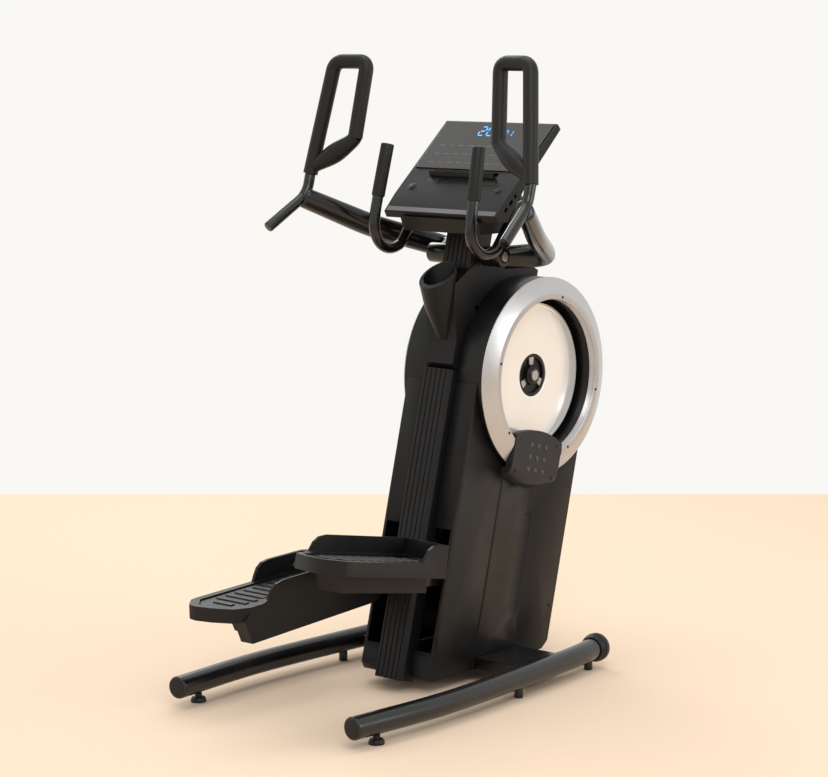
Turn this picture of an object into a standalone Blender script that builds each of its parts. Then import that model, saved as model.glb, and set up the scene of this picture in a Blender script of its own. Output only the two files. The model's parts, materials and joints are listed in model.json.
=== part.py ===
"""Stand-up climbing trainer: two pedals on parallel links, two swinging arms, a spinning disc.

Metres, +Z up.  +Y is the way the user faces, +X is the user's right, and the floor is Z = 0.
The origin lies on the floor under the middle of the machine's bounding box.
"""
import math

import bmesh
import bpy
from mathutils import Matrix, Vector

# ---------------------------------------------------------------- driving dimensions
GAP = 0.0004                       # clearance kept between neighbouring pieces
SIDES = (("right", 1), ("left", -1))

LEAN = math.radians(14.5)          # the column leans forward by this much
DISC_Y, DISC_Z = 0.4038, 0.8575    # axis of the big disc, also the column's local origin
COLUMN_HALF = 0.128                # half width of the lower casing
MIDDLE_X = 0.0545                  # the side covers start this far from the middle plane
SPINE_HALF = 0.052                 # half width of the ribbed rear band
REAR_S = -0.284                    # rear wall of the side casings, in column coordinates
FRONT_S = 0.246                    # front wall of the side casings
BAND_S = -0.317                    # rear face of the ribbed band
CASING_BOTTOM = 0.038              # height of the casing's lower edge
WALL = 0.004                       # casing wall
SEAM_T = -0.035                    # top end of the ribbed band

DRUM_R = 0.2905                    # outer radius of the round covers
DRUM_X = 0.1415                    # side face of the round covers
RING_X = 0.1647                    # inner lip of the bright ring
RING_IN_R = 0.2267
RING_LIP_R = 0.2446
RING_SCREW_R = 0.2361
DISC_R = 0.2125
DISC_X = 0.104
DISC_T = 0.0055                    # thickness of the bright disc
HUB_R = 0.0625                     # black hub in the middle of the disc
AXLE_R = 0.015                     # crank axle

RAIL_R = 0.0315
RAIL_Z = 0.0580
RAIL_WALL = 0.0025
RAIL_PATH = ((0.3227, -0.636), (0.3464, -0.314), (0.3330, 0.037), (0.3120, 0.3205), (0.2910, 0.462))
PADS = ((0.3300, 0.052), (0.2930, 0.432))
FOOT_X, FOOT_Y = 0.3290, -0.557    # levelling feet

AXLE_Y, AXLE_Z = 0.228, 1.217      # pivot of the swinging arms
LINK_Y, LINK_Z = 0.290, 0.305      # frame pivot of the lower links
LINK_LENGTH = 0.275
LINK_RISE = 0.070                  # the upper links run this far above the lower ones
LINK_REST = math.radians(3.2)      # right links rest this far above level, left ones below
PEDAL_TILT = {"right": math.radians(-10.2), "left": math.radians(2.3)}
LINK_X = 0.1065                    # inner face of the link bars
LINK_T = 0.008
LINK_END_R = 0.0150                # rounded ends of the links and of the pedal's hanger
ARM_X = (0.072, 0.100)             # width range of the pedal arm's box section
COVER_X = (0.064, 0.108)           # width range of the pedal's deep inner cover
TRAY_X = 0.2640                    # outer edge of the foot tray
TRAY_REAR = {"right": -0.6755, "left": -0.7095}
TOE_WALL = {"right": -0.318, "left": -0.424}     # rear end of the tall outer wall
COVER_FOOT = {"right": -0.470, "left": -0.630}   # rear end of the inner cover's lower edge
SLOT_Z = (0.118, 0.458)            # height range of the pedal slots
CRANK_R = 0.055                    # crank throw, matched to the travel of the rod pins
ROD_PIN = 0.130                    # rod pin's distance from the lower link's frame pivot

CONSOLE_Y, CONSOLE_Z = 0.096, 1.341
CONSOLE_SLOPE = math.radians(40.5)
CONSOLE_LENGTH = 0.380
CONSOLE_HALF = 0.205
BRACKET_HALF = 0.142               # half width of the box under the console

CUP_Y, CUP_Z = 0.0935, 1.169       # middle of the cup holder's rim
CUP_R = 0.0545
CUP_SLOPE = math.tan(math.radians(33.0))

FLY_Y, FLY_Z = 0.333, 0.504        # flywheel axis
FLY_R = 0.110
PULLEY_R = 0.130                   # drive pulley
SMALL_PULLEY_R = 0.0215            # pulley on the flywheel's shaft
BRAKE_Y, BRAKE_Z = 0.470, 0.590    # pivot of the magnet yoke

MAST_TOP = 0.385                   # top end of the mast, in column coordinates
ARM_AXLE_R = 0.013
LINK_AXLE_R = 0.009
PEDAL_PIN_R = 0.008
ROD_PIN_R = 0.007
FLY_AXLE_R = 0.008
SCREW_R = 0.0036
BELT_X = (0.0480, 0.0535)          # the belt's edges
PAD_HALF = 0.112                   # half width of the bump pad
PAD_RIBS = 11                      # raised ribs on a foot pad
RIB_PITCH = 0.0355
GROOVES = 5                        # upright grooves in the rear band
BUTTON_R = 0.0088
BUTTON_AT = (0.158, 0.098)         # console button's place on the console

# ---------------------------------------------------------------- scene helpers
for old in list(bpy.data.objects):
    bpy.data.objects.remove(old, do_unlink=True)


def material(name, colour, roughness, metallic=0.0):
    """A plain Principled material, made once per name."""
    found = bpy.data.materials.get(name)
    if found:
        return found
    made = bpy.data.materials.new(name)
    made.use_nodes = True
    shader = made.node_tree.nodes["Principled BSDF"]
    shader.inputs["Base Color"].default_value = (*colour, 1.0)
    shader.inputs["Roughness"].default_value = roughness
    shader.inputs["Metallic"].default_value = metallic
    made.diffuse_color = (*colour, 1.0)
    return made


BLACK_PAINT = ("black_paint", (0.018, 0.018, 0.020), 0.32, 0.0)
CASING = ("casing_plastic", (0.030, 0.030, 0.032), 0.48, 0.0)
DARK_CASING = ("drum_plastic", (0.014, 0.014, 0.015), 0.40, 0.0)
RUBBER = ("grip_rubber", (0.022, 0.022, 0.024), 0.62, 0.0)
SILVER = ("ring_silver", (0.62, 0.62, 0.63), 0.28, 0.9)
BRIGHT = ("disc_chrome", (0.90, 0.90, 0.90), 0.08, 1.0)
STEEL = ("steel", (0.45, 0.45, 0.46), 0.35, 1.0)
PAD_GREY = ("pad_grey", (0.060, 0.060, 0.064), 0.55, 0.0)
GLASS = ("console_lens", (0.010, 0.011, 0.013), 0.10, 0.0)
BELT = ("belt_rubber", (0.020, 0.020, 0.020), 0.70, 0.0)


def empty(name, location, tilt=0.0, parent=None):
    """An empty used as a local frame; tilt turns it about X."""
    made = bpy.data.objects.new(name, None)
    made.location = location
    made.rotation_euler = (tilt, 0.0, 0.0)
    made.parent = parent
    bpy.context.scene.collection.objects.link(made)
    return made


def finish(name, mesh_builder, look, parent=None, location=(0, 0, 0), smooth=35.0):
    """Turns a bmesh into a named object with its material."""
    bmesh.ops.remove_doubles(mesh_builder, verts=mesh_builder.verts, dist=1e-6)
    bmesh.ops.recalc_face_normals(mesh_builder, faces=mesh_builder.faces)
    mesh = bpy.data.meshes.new(name)
    mesh_builder.to_mesh(mesh)
    mesh_builder.free()
    mesh.shade_smooth()
    mesh.set_sharp_from_angle(angle=math.radians(smooth))
    mesh.materials.append(material(*look))
    made = bpy.data.objects.new(name, mesh)
    made.location = location
    made.parent = parent
    bpy.context.scene.collection.objects.link(made)
    return made


def operand(target, work, operation, parent, location):
    """Adds a Boolean modifier with a hidden operand made from a bmesh."""
    name = f"{target.name}_{operation.lower()}_{len(target.modifiers)}"
    shape = finish(name, work, STEEL, parent, location)
    shape.hide_render = True
    shape.display_type = "WIRE"
    step = target.modifiers.new(operation.lower(), "BOOLEAN")
    step.operation = operation
    step.solver = "EXACT"
    step.object = shape


def cut(target, work, parent=None, location=(0, 0, 0)):
    operand(target, work, "DIFFERENCE", parent, location)


def join(target, work, parent=None, location=(0, 0, 0)):
    operand(target, work, "UNION", parent, location)


# ---------------------------------------------------------------- shape helpers
def add_prism(work, outline, low, high, axis="X"):
    """Extrudes a closed outline from low to high along an axis.

    The outline's points are (y, z) for X, (x, z) for Y and (x, y) for Z.
    """
    def place(point, depth):
        if axis == "X":
            return (depth, point[0], point[1])
        if axis == "Y":
            return (point[0], depth, point[1])
        return (point[0], point[1], depth)

    first = [work.verts.new(place(p, low)) for p in outline]
    last = [work.verts.new(place(p, high)) for p in outline]
    work.faces.new(first)
    work.faces.new(list(reversed(last)))
    count = len(outline)
    for i in range(count):
        j = (i + 1) % count
        work.faces.new((first[j], first[i], last[i], last[j]))


def prism(outline, low, high, axis="X"):
    """One extruded outline as a new bmesh."""
    work = bmesh.new()
    add_prism(work, outline, low, high, axis)
    return work


def box(low, high, bevel=0.0, segments=1):
    """A box between two corners, with rounded edges where bevel is given."""
    work = bmesh.new()
    outline = ((low[1], low[2]), (high[1], low[2]), (high[1], high[2]), (low[1], high[2]))
    add_prism(work, outline, low[0], high[0])
    if bevel > 0.0:
        bmesh.ops.bevel(work, geom=work.edges[:], offset=bevel, segments=segments,
                        affect="EDGES", profile=0.5)
    return work


def turned(profile, steps=32, start=0.0, axis="X"):
    """Turns a closed (along, radius) profile about an axis through the local origin."""
    work = bmesh.new()
    rings = []
    for i in range(steps):
        angle = start + 2.0 * math.pi * i / steps
        ring = []
        for along, radius in profile:
            a, b = radius * math.cos(angle), radius * math.sin(angle)
            place = {"X": (along, a, b), "Y": (a, along, b), "Z": (a, b, along)}[axis]
            ring.append(work.verts.new(place))
        rings.append(ring)
    count = len(profile)
    for i in range(steps):
        here, there = rings[i], rings[(i + 1) % steps]
        for j in range(count):
            k = (j + 1) % count
            corners = []
            for vert in (here[j], here[k], there[k], there[j]):
                if all((vert.co - other.co).length > 1e-9 for other in corners):
                    corners.append(vert)
            if len(corners) >= 3:
                work.faces.new(corners)
    bmesh.ops.remove_doubles(work, verts=work.verts, dist=1e-7)
    bmesh.ops.recalc_face_normals(work, faces=work.faces)
    return work


def rod(radius, low, high, steps=20, axis="X"):
    """A solid cylinder from low to high along an axis."""
    return turned(((low, 0.0), (high, 0.0), (high, radius), (low, radius)), steps, axis=axis)


def smooth_path(points, per_span=4):
    """Points on a Catmull-Rom curve through the given points."""
    pts = [Vector(p) for p in points]
    ends = [2 * pts[0] - pts[1]] + pts + [2 * pts[-1] - pts[-2]]
    out = []
    for i in range(1, len(ends) - 2):
        a, b, c, d = ends[i - 1:i + 3]
        for k in range(per_span):
            t = k / per_span
            out.append(0.5 * (2 * b + (c - a) * t + (2 * a - 5 * b + 4 * c - d) * t * t
                              + (3 * b - a - 3 * c + d) * t ** 3))
    out.append(pts[-1])
    return out


def rounded_path(points, radius, steps=4):
    """A polyline whose inner corners are replaced with arcs of about the given radius."""
    pts = [Vector(p) for p in points]
    out = [pts[0]]
    for before, corner, after in zip(pts, pts[1:], pts[2:]):
        into = (before - corner).normalized()
        away = (after - corner).normalized()
        reach = min(radius, 0.45 * (before - corner).length, 0.45 * (after - corner).length)
        start, end = corner + into * reach, corner + away * reach
        for k in range(steps + 1):
            t = k / steps
            out.append(start.lerp(corner, t).lerp(corner.lerp(end, t), t))
    out.append(pts[-1])
    return out


def tube(path, radius, inner=0.0, sides=16, flatten=1.0, grow=None, plugged=False):
    """Sweeps a circle or an oval along a path; inner > 0 leaves it hollow with open ends.

    flatten scales the level width of the section, and grow scales the section at each point.
    A plugged tube is solid along its first span and closed there.
    """
    pts = [Vector(p) for p in path]
    work = bmesh.new()
    side = None
    shells = {"outer": [], "inner": []}
    for i, point in enumerate(pts):
        ahead = pts[min(i + 1, len(pts) - 1)] - pts[max(i - 1, 0)]
        ahead.normalize()
        if side is None:
            side = ahead.cross(Vector((0, 0, 1)))
            if side.length < 1e-3:
                side = Vector((1, 0, 0))
        side = (side - ahead * side.dot(ahead)).normalized()
        other = side.cross(ahead).normalized()
        scale = grow[i] if grow else 1.0
        for kind, size in (("outer", radius * scale), ("inner", inner * scale)):
            if size <= 0.0 or (kind == "inner" and plugged and i == 0):
                continue
            ring = []
            for k in range(sides):
                angle = 2 * math.pi * k / sides
                offset = side * (math.cos(angle) * size * flatten) + other * (math.sin(angle) * size)
                ring.append(work.verts.new(point + offset))
            shells[kind].append(ring)
    for rings in shells.values():
        for here, there in zip(rings, rings[1:]):
            for k in range(sides):
                j = (k + 1) % sides
                work.faces.new((here[k], here[j], there[j], there[k]))
    for end in (0, -1):
        if plugged and end == 0:
            work.faces.new(shells["outer"][0])
            work.faces.new(shells["inner"][0])
        elif inner > 0.0:
            out_ring, in_ring = shells["outer"][end], shells["inner"][end]
            for k in range(sides):
                j = (k + 1) % sides
                work.faces.new((out_ring[k], out_ring[j], in_ring[j], in_ring[k]))
        else:
            work.faces.new(shells["outer"][end])
    bmesh.ops.recalc_face_normals(work, faces=work.faces)
    return work


def arc(centre, radius, start, end, steps):
    """Points of an arc; angles in degrees."""
    out = []
    for i in range(steps + 1):
        angle = math.radians(start + (end - start) * i / steps)
        out.append((centre[0] + radius * math.cos(angle), centre[1] + radius * math.sin(angle)))
    return out


def stadium(ends, radius, steps=6):
    """Outline of a bar with round ends between two (y, z) centres."""
    (y0, z0), (y1, z1) = ends
    angle = math.degrees(math.atan2(z1 - z0, y1 - y0))
    return (arc((y1, z1), radius, angle - 90, angle + 90, steps)
            + arc((y0, z0), radius, angle + 90, angle + 270, steps))


def mirror_x(path, side):
    """The path on one side of the machine."""
    return [(side * p[0], p[1], p[2]) for p in path]


def span(side, low, high):
    """An X range on one side of the machine, lowest first."""
    return (low, high) if side > 0 else (-high, -low)


# ---------------------------------------------------------------- local frames
COLUMN = empty("column_frame", (0, DISC_Y, DISC_Z), -LEAN)
CONSOLE = empty("console_frame", (0, CONSOLE_Y, CONSOLE_Z), CONSOLE_SLOPE)


def column_t(s, world_z):
    """Column coordinate t of the point at coordinate s that has the given height."""
    return (world_z - DISC_Z + s * math.sin(LEAN)) / math.cos(LEAN)


def to_world(s, t):
    """World (y, z) of a point given in column coordinates."""
    return (DISC_Y + s * math.cos(LEAN) + t * math.sin(LEAN),
            DISC_Z - s * math.sin(LEAN) + t * math.cos(LEAN))


def pedal_pin(side):
    """World (y, z) of the pin that joins a pedal arm to its lower link."""
    lift = LINK_REST * side
    return (LINK_Y - LINK_LENGTH * math.cos(lift), LINK_Z + LINK_LENGTH * math.sin(lift))


def side_box(side, x, y, z):
    """A box given by ranges, with x counted away from the middle plane."""
    low, high = span(side, *x)
    return box((low, y[0], z[0]), (high, y[1], z[1]))


def lathe(side, profile, steps):
    """A turned solid about X whose profile is counted away from the middle plane."""
    return turned([(side * along, radius) for along, radius in profile], steps)


def disc_of(centre, radius, steps):
    """Outline of a regular polygon standing in for a circle."""
    return arc(centre, radius, 0, 360 - 360 / steps, steps - 1)


# ---------------------------------------------------------------- base
def make_rails():
    """Two bowed floor tubes with closed rear ends and pads, flared front caps and levelling feet."""
    for name, side in SIDES:
        route = smooth_path([(side * x, y, RAIL_Z) for x, y in RAIL_PATH], 3)
        back = (route[0] - route[1]).normalized()
        route = [route[0] + back * 0.012, route[0] + back * 0.008] + route
        taper = (0.84,) + (1.0,) * (len(route) - 1)
        rail = tube(route, RAIL_R, RAIL_R - RAIL_WALL, sides=14, grow=taper, plugged=True)
        rail = finish(f"{name}_base_rail", rail, BLACK_PAINT)
        for x, y in PADS:
            join(rail, rod(0.0128, 0.0, RAIL_Z - RAIL_R + 0.004, 12, "Z"), location=(side * x, y, 0))
        cap = front_cap(route[-1], (route[-1] - route[-2]).normalized())
        finish(f"{name}_rail_front_cap", cap, RUBBER)
        make_foot(name, side)


def front_cap(end, ahead):
    """A flared sleeve over the rail's end with a domed roller cap beyond it."""
    bore = RAIL_R + 0.0012
    profile = ((0.0008, 0.0), (0.0008, bore), (-0.016, bore), (-0.016, 0.0350), (-0.002, 0.0415),
               (0.002, 0.0385), (0.006, 0.0425), (0.024, 0.0415), (0.034, 0.0300), (0.036, 0.0))
    work = turned(profile, 18, axis="X")
    turn = Vector((1, 0, 0)).rotation_difference(ahead).to_matrix().to_4x4()
    work.transform(Matrix.Translation(end) @ turn)
    return work


def make_foot(name, side):
    """A levelling foot: tapered rubber base and a threaded neck up to the rail."""
    profile = ((0.0, 0.0), (0.0, 0.0215), (0.004, 0.0225), (0.014, 0.0185), (0.0155, 0.0100),
               (RAIL_Z - RAIL_R - 0.0012, 0.0100), (RAIL_Z - RAIL_R - 0.0012, 0.0))
    foot = turned(profile, 16, axis="Z")
    finish(f"{name}_levelling_foot", foot, RUBBER, location=(side * FOOT_X, FOOT_Y, 0.0))


def make_frame():
    """Welded steel inside: base channel, hollow mast with crank support, link post with its fork."""
    beam = ((-0.2955, 0.105), (0.2955, 0.105), (0.2800, 0.300), (-0.2800, 0.300))
    frame = finish("base_frame", prism(beam, 0.036, 0.072, "Z"), BLACK_PAINT)
    join(frame, box((-0.046, -0.096, 0.060), (0.046, 0.420, 0.096)))
    inside = ((-0.2875, 0.109), (0.2875, 0.109), (0.2725, 0.296), (-0.2725, 0.296))
    cut(frame, prism(inside, 0.0300, 0.0680, "Z"))
    cut(frame, box((-0.042, -0.092, 0.050), (0.042, 0.416, 0.092)))

    low, high = mast_range()
    foot = column_t(-0.260, 0.0970)
    outline = ((low, foot), (high, foot), (high, MAST_TOP), (low, MAST_TOP))
    mast = finish("mast", prism(outline, -0.030, 0.030), BLACK_PAINT, COLUMN)
    cut(mast, box((-0.1, -0.3, -0.1), (0.1, 0.3, 0.0964)))
    hollow = ((low + WALL, foot - 0.1), (high - WALL, foot - 0.1), (high - WALL, MAST_TOP - 0.010),
              (low + WALL, MAST_TOP - 0.010))
    cut(mast, prism(hollow, -0.026, 0.026), COLUMN)
    arm = ((-0.250, -0.030), (-0.015, -0.024), (-0.015, 0.024), (-0.250, 0.030))
    join(mast, prism(arm, -0.026, 0.026), COLUMN)
    join(mast, rod(0.034, -0.040, 0.040, 20), COLUMN)
    cut(mast, rod(AXLE_R + GAP, -0.06, 0.06, 20), COLUMN)
    cut(mast, rod(ARM_AXLE_R + GAP, -0.06, 0.06, 20), location=(0, AXLE_Y, AXLE_Z))

    post = prism(((0.262, 0.0964), (0.318, 0.0964), (0.312, 0.3870), (0.268, 0.3870)), -0.028, 0.028)
    post = finish("link_post", post, BLACK_PAINT)
    for rise in (0.0, LINK_RISE):
        join(post, rod(LINK_AXLE_R, -0.1205, 0.1205, 16), location=(0, LINK_Y, LINK_Z + rise))
    join(post, box((-0.0365, 0.268, 0.3780), (0.0365, 0.326, 0.3900)))
    fork = ((0.288, 0.379), (0.324, 0.379), (0.352, 0.490), (0.352, 0.522), (0.314, 0.522), (0.314, 0.490))
    for side in (1, -1):
        join(post, prism(fork, *span(side, 0.0285, 0.0365)))
    cut(post, rod(FLY_AXLE_R + GAP, -0.06, 0.06, 16), location=(0, FLY_Y, FLY_Z))


def mast_range():
    """Rear and front face of the mast in column coordinates."""
    return -0.288, -0.232


# ---------------------------------------------------------------- drive
def make_drive():
    """Crank, drive pulley, the two bright discs, flywheel, belt and magnetic brake."""
    centre = (0, DISC_Y, DISC_Z)
    crank = finish("crank", rod(AXLE_R, -0.1125, 0.1125, 20), STEEL, location=centre)
    angle = crank_angle()
    for side in (1, -1):
        tip = (-side * CRANK_R * math.cos(angle), -side * CRANK_R * math.sin(angle))
        join(crank, prism(stadium(((0, 0), tip), 0.022, 6), *span(side, 0.0580, 0.0660)), location=centre)
        join(crank, prism(disc_of(tip, 0.009, 12), *span(side, 0.0640, 0.0735)), location=centre)

    low, high = BELT_X[0] - 0.0018, BELT_X[1] + 0.0018
    flange = 0.0013
    pulley = turned(((low, AXLE_R + GAP), (low, PULLEY_R + 0.003), (low + flange, PULLEY_R + 0.003),
                     (low + flange, PULLEY_R), (high, PULLEY_R), (high, AXLE_R + GAP)), 36)
    finish("drive_pulley", pulley, STEEL, location=centre)

    for name, side in SIDES:
        make_disc(name, side)

    at = (0, FLY_Y, FLY_Z)
    flywheel = finish("flywheel", rod(FLY_R, -0.018, 0.018, 32), STEEL, location=at)
    shaft = ((-0.044, 0.0), (-0.044, FLY_AXLE_R), (low, FLY_AXLE_R), (low, SMALL_PULLEY_R),
             (high, SMALL_PULLEY_R), (high, 0.0))
    join(flywheel, turned(shaft, 18), location=at)

    finish("drive_belt", belt_loop(), BELT)
    make_brake()


def crank_angle():
    """Angle that puts both crank pins at the same distance from the lower links' rod pins."""
    return math.atan2(-(DISC_Y - LINK_Y + ROD_PIN), DISC_Z - LINK_Z)


def belt_loop():
    """A flat belt wrapped round the drive pulley and the flywheel's small pulley."""
    big, small = (DISC_Y, DISC_Z), (FLY_Y, FLY_Z)
    toward = math.degrees(math.atan2(small[1] - big[1], small[0] - big[0]))
    distance = math.hypot(small[0] - big[0], small[1] - big[1])
    big_r, small_r = PULLEY_R + 0.0008, SMALL_PULLEY_R + 0.0008
    spread = math.degrees(math.acos((big_r - small_r) / distance))
    rings = []
    work = bmesh.new()
    for grow in (0.0, 0.003):
        loop = arc(big, big_r + grow, toward + spread, toward + 360 - spread, 22)
        loop += arc(small, small_r + grow, toward - spread, toward + spread, 6)
        for depth in BELT_X:
            rings.append([work.verts.new((depth, y, z)) for y, z in loop])
    inner_low, inner_high, outer_low, outer_high = rings
    count = len(inner_low)
    for a, b in ((inner_low, inner_high), (inner_high, outer_high), (outer_high, outer_low),
                 (outer_low, inner_low)):
        for i in range(count):
            j = (i + 1) % count
            work.faces.new((a[i], a[j], b[j], b[i]))
    return work


def make_disc(name, side):
    """A bright disc with a black three-spoke hub let into its middle."""
    centre = (0, DISC_Y, DISC_Z)
    low, high = DISC_X - DISC_T, DISC_X
    profile = ((low, HUB_R + GAP), (high, HUB_R + GAP), (high, DISC_R), (low, DISC_R))
    finish(f"{name}_disc", lathe(side, profile, 48), BRIGHT, location=centre)
    rim = ((0.0905, 0.0550), (0.1000, 0.0550), (0.1000, HUB_R), (0.0905, HUB_R))
    hub = finish(f"{name}_disc_hub", lathe(side, rim, 24), DARK_CASING, location=centre)
    for k in range(3):
        spoke = side_box(side, (0.0905, 0.0980), (0.0220, 0.0580), (-0.009, 0.009))
        spoke.transform(Matrix.Rotation(math.radians(90 + 120 * k), 4, "X"))
        join(hub, spoke, location=centre)
    core = ((0.0905, AXLE_R + GAP), (0.1120, AXLE_R + GAP), (0.1120, 0.0200), (0.1090, 0.0280),
            (0.0905, 0.0280))
    join(hub, lathe(side, core, 16), location=centre)


def make_brake():
    """A magnet yoke that swings over the flywheel's rim, and the motor that pulls it."""
    at = (0, BRAKE_Y, BRAKE_Z)
    outline = ((0.395, 0.470), (0.444, 0.452), (0.4665, 0.470), (0.482, 0.590), (0.462, 0.602),
               (0.430, 0.540), (0.395, 0.530))
    outline = [(y - BRAKE_Y, z - BRAKE_Z) for y, z in outline]
    brake = finish("brake_yoke", prism(outline, 0.0205, 0.0265), STEEL, location=at)
    join(brake, prism(outline, -0.0265, -0.0205), location=at)
    join(brake, box((-0.024, -0.020, -0.128), (0.024, -0.0075, -0.070)), location=at)
    cut(brake, rod(0.0064, -0.05, 0.05, 12), location=at)
    motor = finish("brake_motor", box((-0.019, 0.440, 0.600), (0.019, 0.500, 0.650)), BLACK_PAINT)
    join(motor, rod(0.006, -0.030, 0.030, 12), location=at)
    join(motor, box((-0.019, BRAKE_Y - 0.008, BRAKE_Z - 0.008), (0.019, BRAKE_Y + 0.008, 0.605)))
    join(motor, box((-0.016, 0.495, 0.618), (0.016, 0.590, 0.634)))


# ---------------------------------------------------------------- links and pedals
def make_links():
    """Lower and upper parallel links, and the rods that run up to the crank."""
    for name, side in SIDES:
        pin_y, pin_z = pedal_pin(side)
        tip = (pin_y - LINK_Y, pin_z - LINK_Z)
        across = span(side, LINK_X, LINK_X + LINK_T)
        through = span(side, 0.09, 0.13)
        for kind, rise in (("lower", 0.0), ("upper", LINK_RISE)):
            at = (0, LINK_Y, LINK_Z + rise)
            bar = prism(stadium(((0, 0), tip), LINK_END_R, 7), *across)
            bar = finish(f"{name}_{kind}_link", bar, BLACK_PAINT, location=at)
            cut(bar, prism(disc_of((0, 0), LINK_AXLE_R + GAP, 16), *through), location=at)
            cut(bar, prism(disc_of(tip, PEDAL_PIN_R + GAP, 16), *through), location=at)
            if kind == "lower":
                pin = prism(disc_of(rod_pin(side), ROD_PIN_R, 14), *span(side, 0.0745, LINK_X + 0.002))
                join(bar, pin, location=at)
        make_rod(name, side)


def rod_pin(side):
    """(y, z) of the rod's lower pin, counted from the lower link's frame pivot."""
    lift = LINK_REST * side
    return (-ROD_PIN * math.cos(lift), ROD_PIN * math.sin(lift))


def make_rod(name, side):
    """A flat connecting rod; its upper eye runs beside the crank pin and doesn't enclose it."""
    pin = rod_pin(side)
    at = (0, LINK_Y + pin[0], LINK_Z + pin[1])
    angle = crank_angle()
    reach = (DISC_Y - side * CRANK_R * math.cos(angle) - at[1],
             DISC_Z - side * CRANK_R * math.sin(angle) - at[2])
    bar = prism(stadium(((0, 0), reach), 0.0125, 6), *span(side, 0.0755, 0.0815))
    piece = finish(f"{name}_rod", bar, STEEL, location=at)
    cut(piece, prism(disc_of((0, 0), ROD_PIN_R + GAP, 14), *span(side, 0.07, 0.09)), location=at)


def make_pedals():
    """Pedal arms with their covers, trays and ribbed foot pads, in each pedal's own frame."""
    for name, side in SIDES:
        frame = empty(f"{name}_pedal_frame", (0, *pedal_pin(side)), PEDAL_TILT[name])
        make_pedal_arm(name, side, frame)
        make_tray(name, side, frame)
        make_foot_pad(name, side, frame)


def make_pedal_arm(name, side, frame):
    """Box-section steel arm with a hanger plate that carries both link pins."""
    tilt = PEDAL_TILT[name]
    up = (LINK_RISE * math.sin(tilt), LINK_RISE * math.cos(tilt))
    rear = COVER_FOOT[name] + 0.064
    body = ((rear, -0.034), (-0.040, -0.028), (-0.014, -0.022), (-0.014, 0.020), (-0.080, 0.030),
            (rear, 0.030))
    arm = finish(f"{name}_pedal_arm", prism(body, *span(side, *ARM_X)), BLACK_PAINT, frame)
    join(arm, prism(stadium(((0, 0), up), LINK_END_R, 6), *span(side, 0.0920, 0.1000)), frame)
    join(arm, side_box(side, (0.0920, 0.0990), (-0.060, 0.002), (-0.018, 0.018)), frame)
    for spot in ((0, 0), up):
        join(arm, prism(disc_of(spot, PEDAL_PIN_R, 16), *span(side, 0.0950, 0.1185)), frame)


def make_tray(name, side, frame):
    """Moulded pedal: a deep inner cover over the arm, a foot tray on a ribbed box, and a toe rim."""
    rear, foot = TRAY_REAR[name], COVER_FOOT[name]
    cover = ((foot, -0.048), (-0.118, -0.040), (-0.104, -0.030), (-0.112, 0.090), (-0.160, 0.104),
             (-0.500, 0.104), (-0.532, 0.098), (-0.552, 0.084), (-0.566, 0.060), (-0.585, 0.054),
             (rear + 0.0845, 0.054), (rear + 0.0545, 0.018), (foot - 0.025, 0.012))
    tray = finish(f"{name}_pedal_tray", prism(cover, *span(side, *COVER_X)), CASING, frame)
    inner = side * COVER_X[0]
    plan = [(inner, rear + 0.0775), (side * 0.090, rear + 0.0355), (side * 0.150, rear + 0.0105),
            (side * 0.200, rear), (side * 0.228, rear + 0.006), (side * (TRAY_X - 0.003), rear + 0.046),
            (side * TRAY_X, rear + 0.0695), (side * TRAY_X, -0.214), (side * (TRAY_X - 0.020), -0.194),
            (inner, -0.150)]
    join(tray, prism(plan, 0.0140, 0.0540, "Z"), frame)
    under = ((rear + 0.1315, -0.040), (-0.190, -0.037), (-0.190, 0.020), (rear + 0.1035, 0.020))
    join(tray, prism(under, *span(side, 0.1000, 0.1820)), frame)
    front = [(inner, -0.162), (inner, -0.150), (side * (TRAY_X - 0.020), -0.194), (side * TRAY_X, -0.214),
             (side * TRAY_X, -0.226), (side * (TRAY_X - 0.012), -0.222), (side * (TRAY_X - 0.030), -0.206)]
    join(tray, prism(front, 0.040, 0.104, "Z"), frame)
    heel = TOE_WALL[name]
    wall = ((heel, 0.048), (-0.214, 0.048), (-0.214, 0.104), (heel + 0.068, 0.106), (heel + 0.040, 0.102),
            (heel + 0.022, 0.090), (heel + 0.010, 0.070))
    join(tray, prism(wall, *span(side, TRAY_X - 0.010, TRAY_X)), frame)

    blind = foot + 0.058
    channel = ((blind, -0.060), (-0.060, -0.060), (-0.060, 0.0355), (blind, 0.0355))
    cut(tray, prism(channel, *span(side, ARM_X[0] - GAP, ARM_X[1] + GAP)), frame)
    shelf = ((-0.700, 0.058), (-0.166, 0.058), (-0.166, 0.130), (-0.700, 0.130))
    cut(tray, prism(shelf, *span(side, COVER_X[0] + 0.006, 0.1200)), frame)
    hollow = ((rear + 0.1435, -0.050), (-0.197, -0.050), (-0.197, 0.006), (rear + 0.1215, 0.006))
    cut(tray, prism(hollow, *span(side, 0.1130, 0.1760)), frame)
    cut(tray, prism(pocket_plan(name, side, 0.0), 0.0450, 0.075, "Z"), frame)


def pocket_plan(name, side, inset):
    """Plan of the tray's pocket for the foot pad, shrunk by inset."""
    low, high = 0.0900 + inset, TRAY_X - 0.022 - inset
    rear, front = TRAY_REAR[name] + 0.0225 + inset, -0.2360 - inset
    return [(side * low, rear + 0.036), (side * (low + 0.050), rear + 0.006), (side * (high - 0.036), rear),
            (side * high, rear + 0.040), (side * high, front), (side * low, front + 0.040)]


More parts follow.
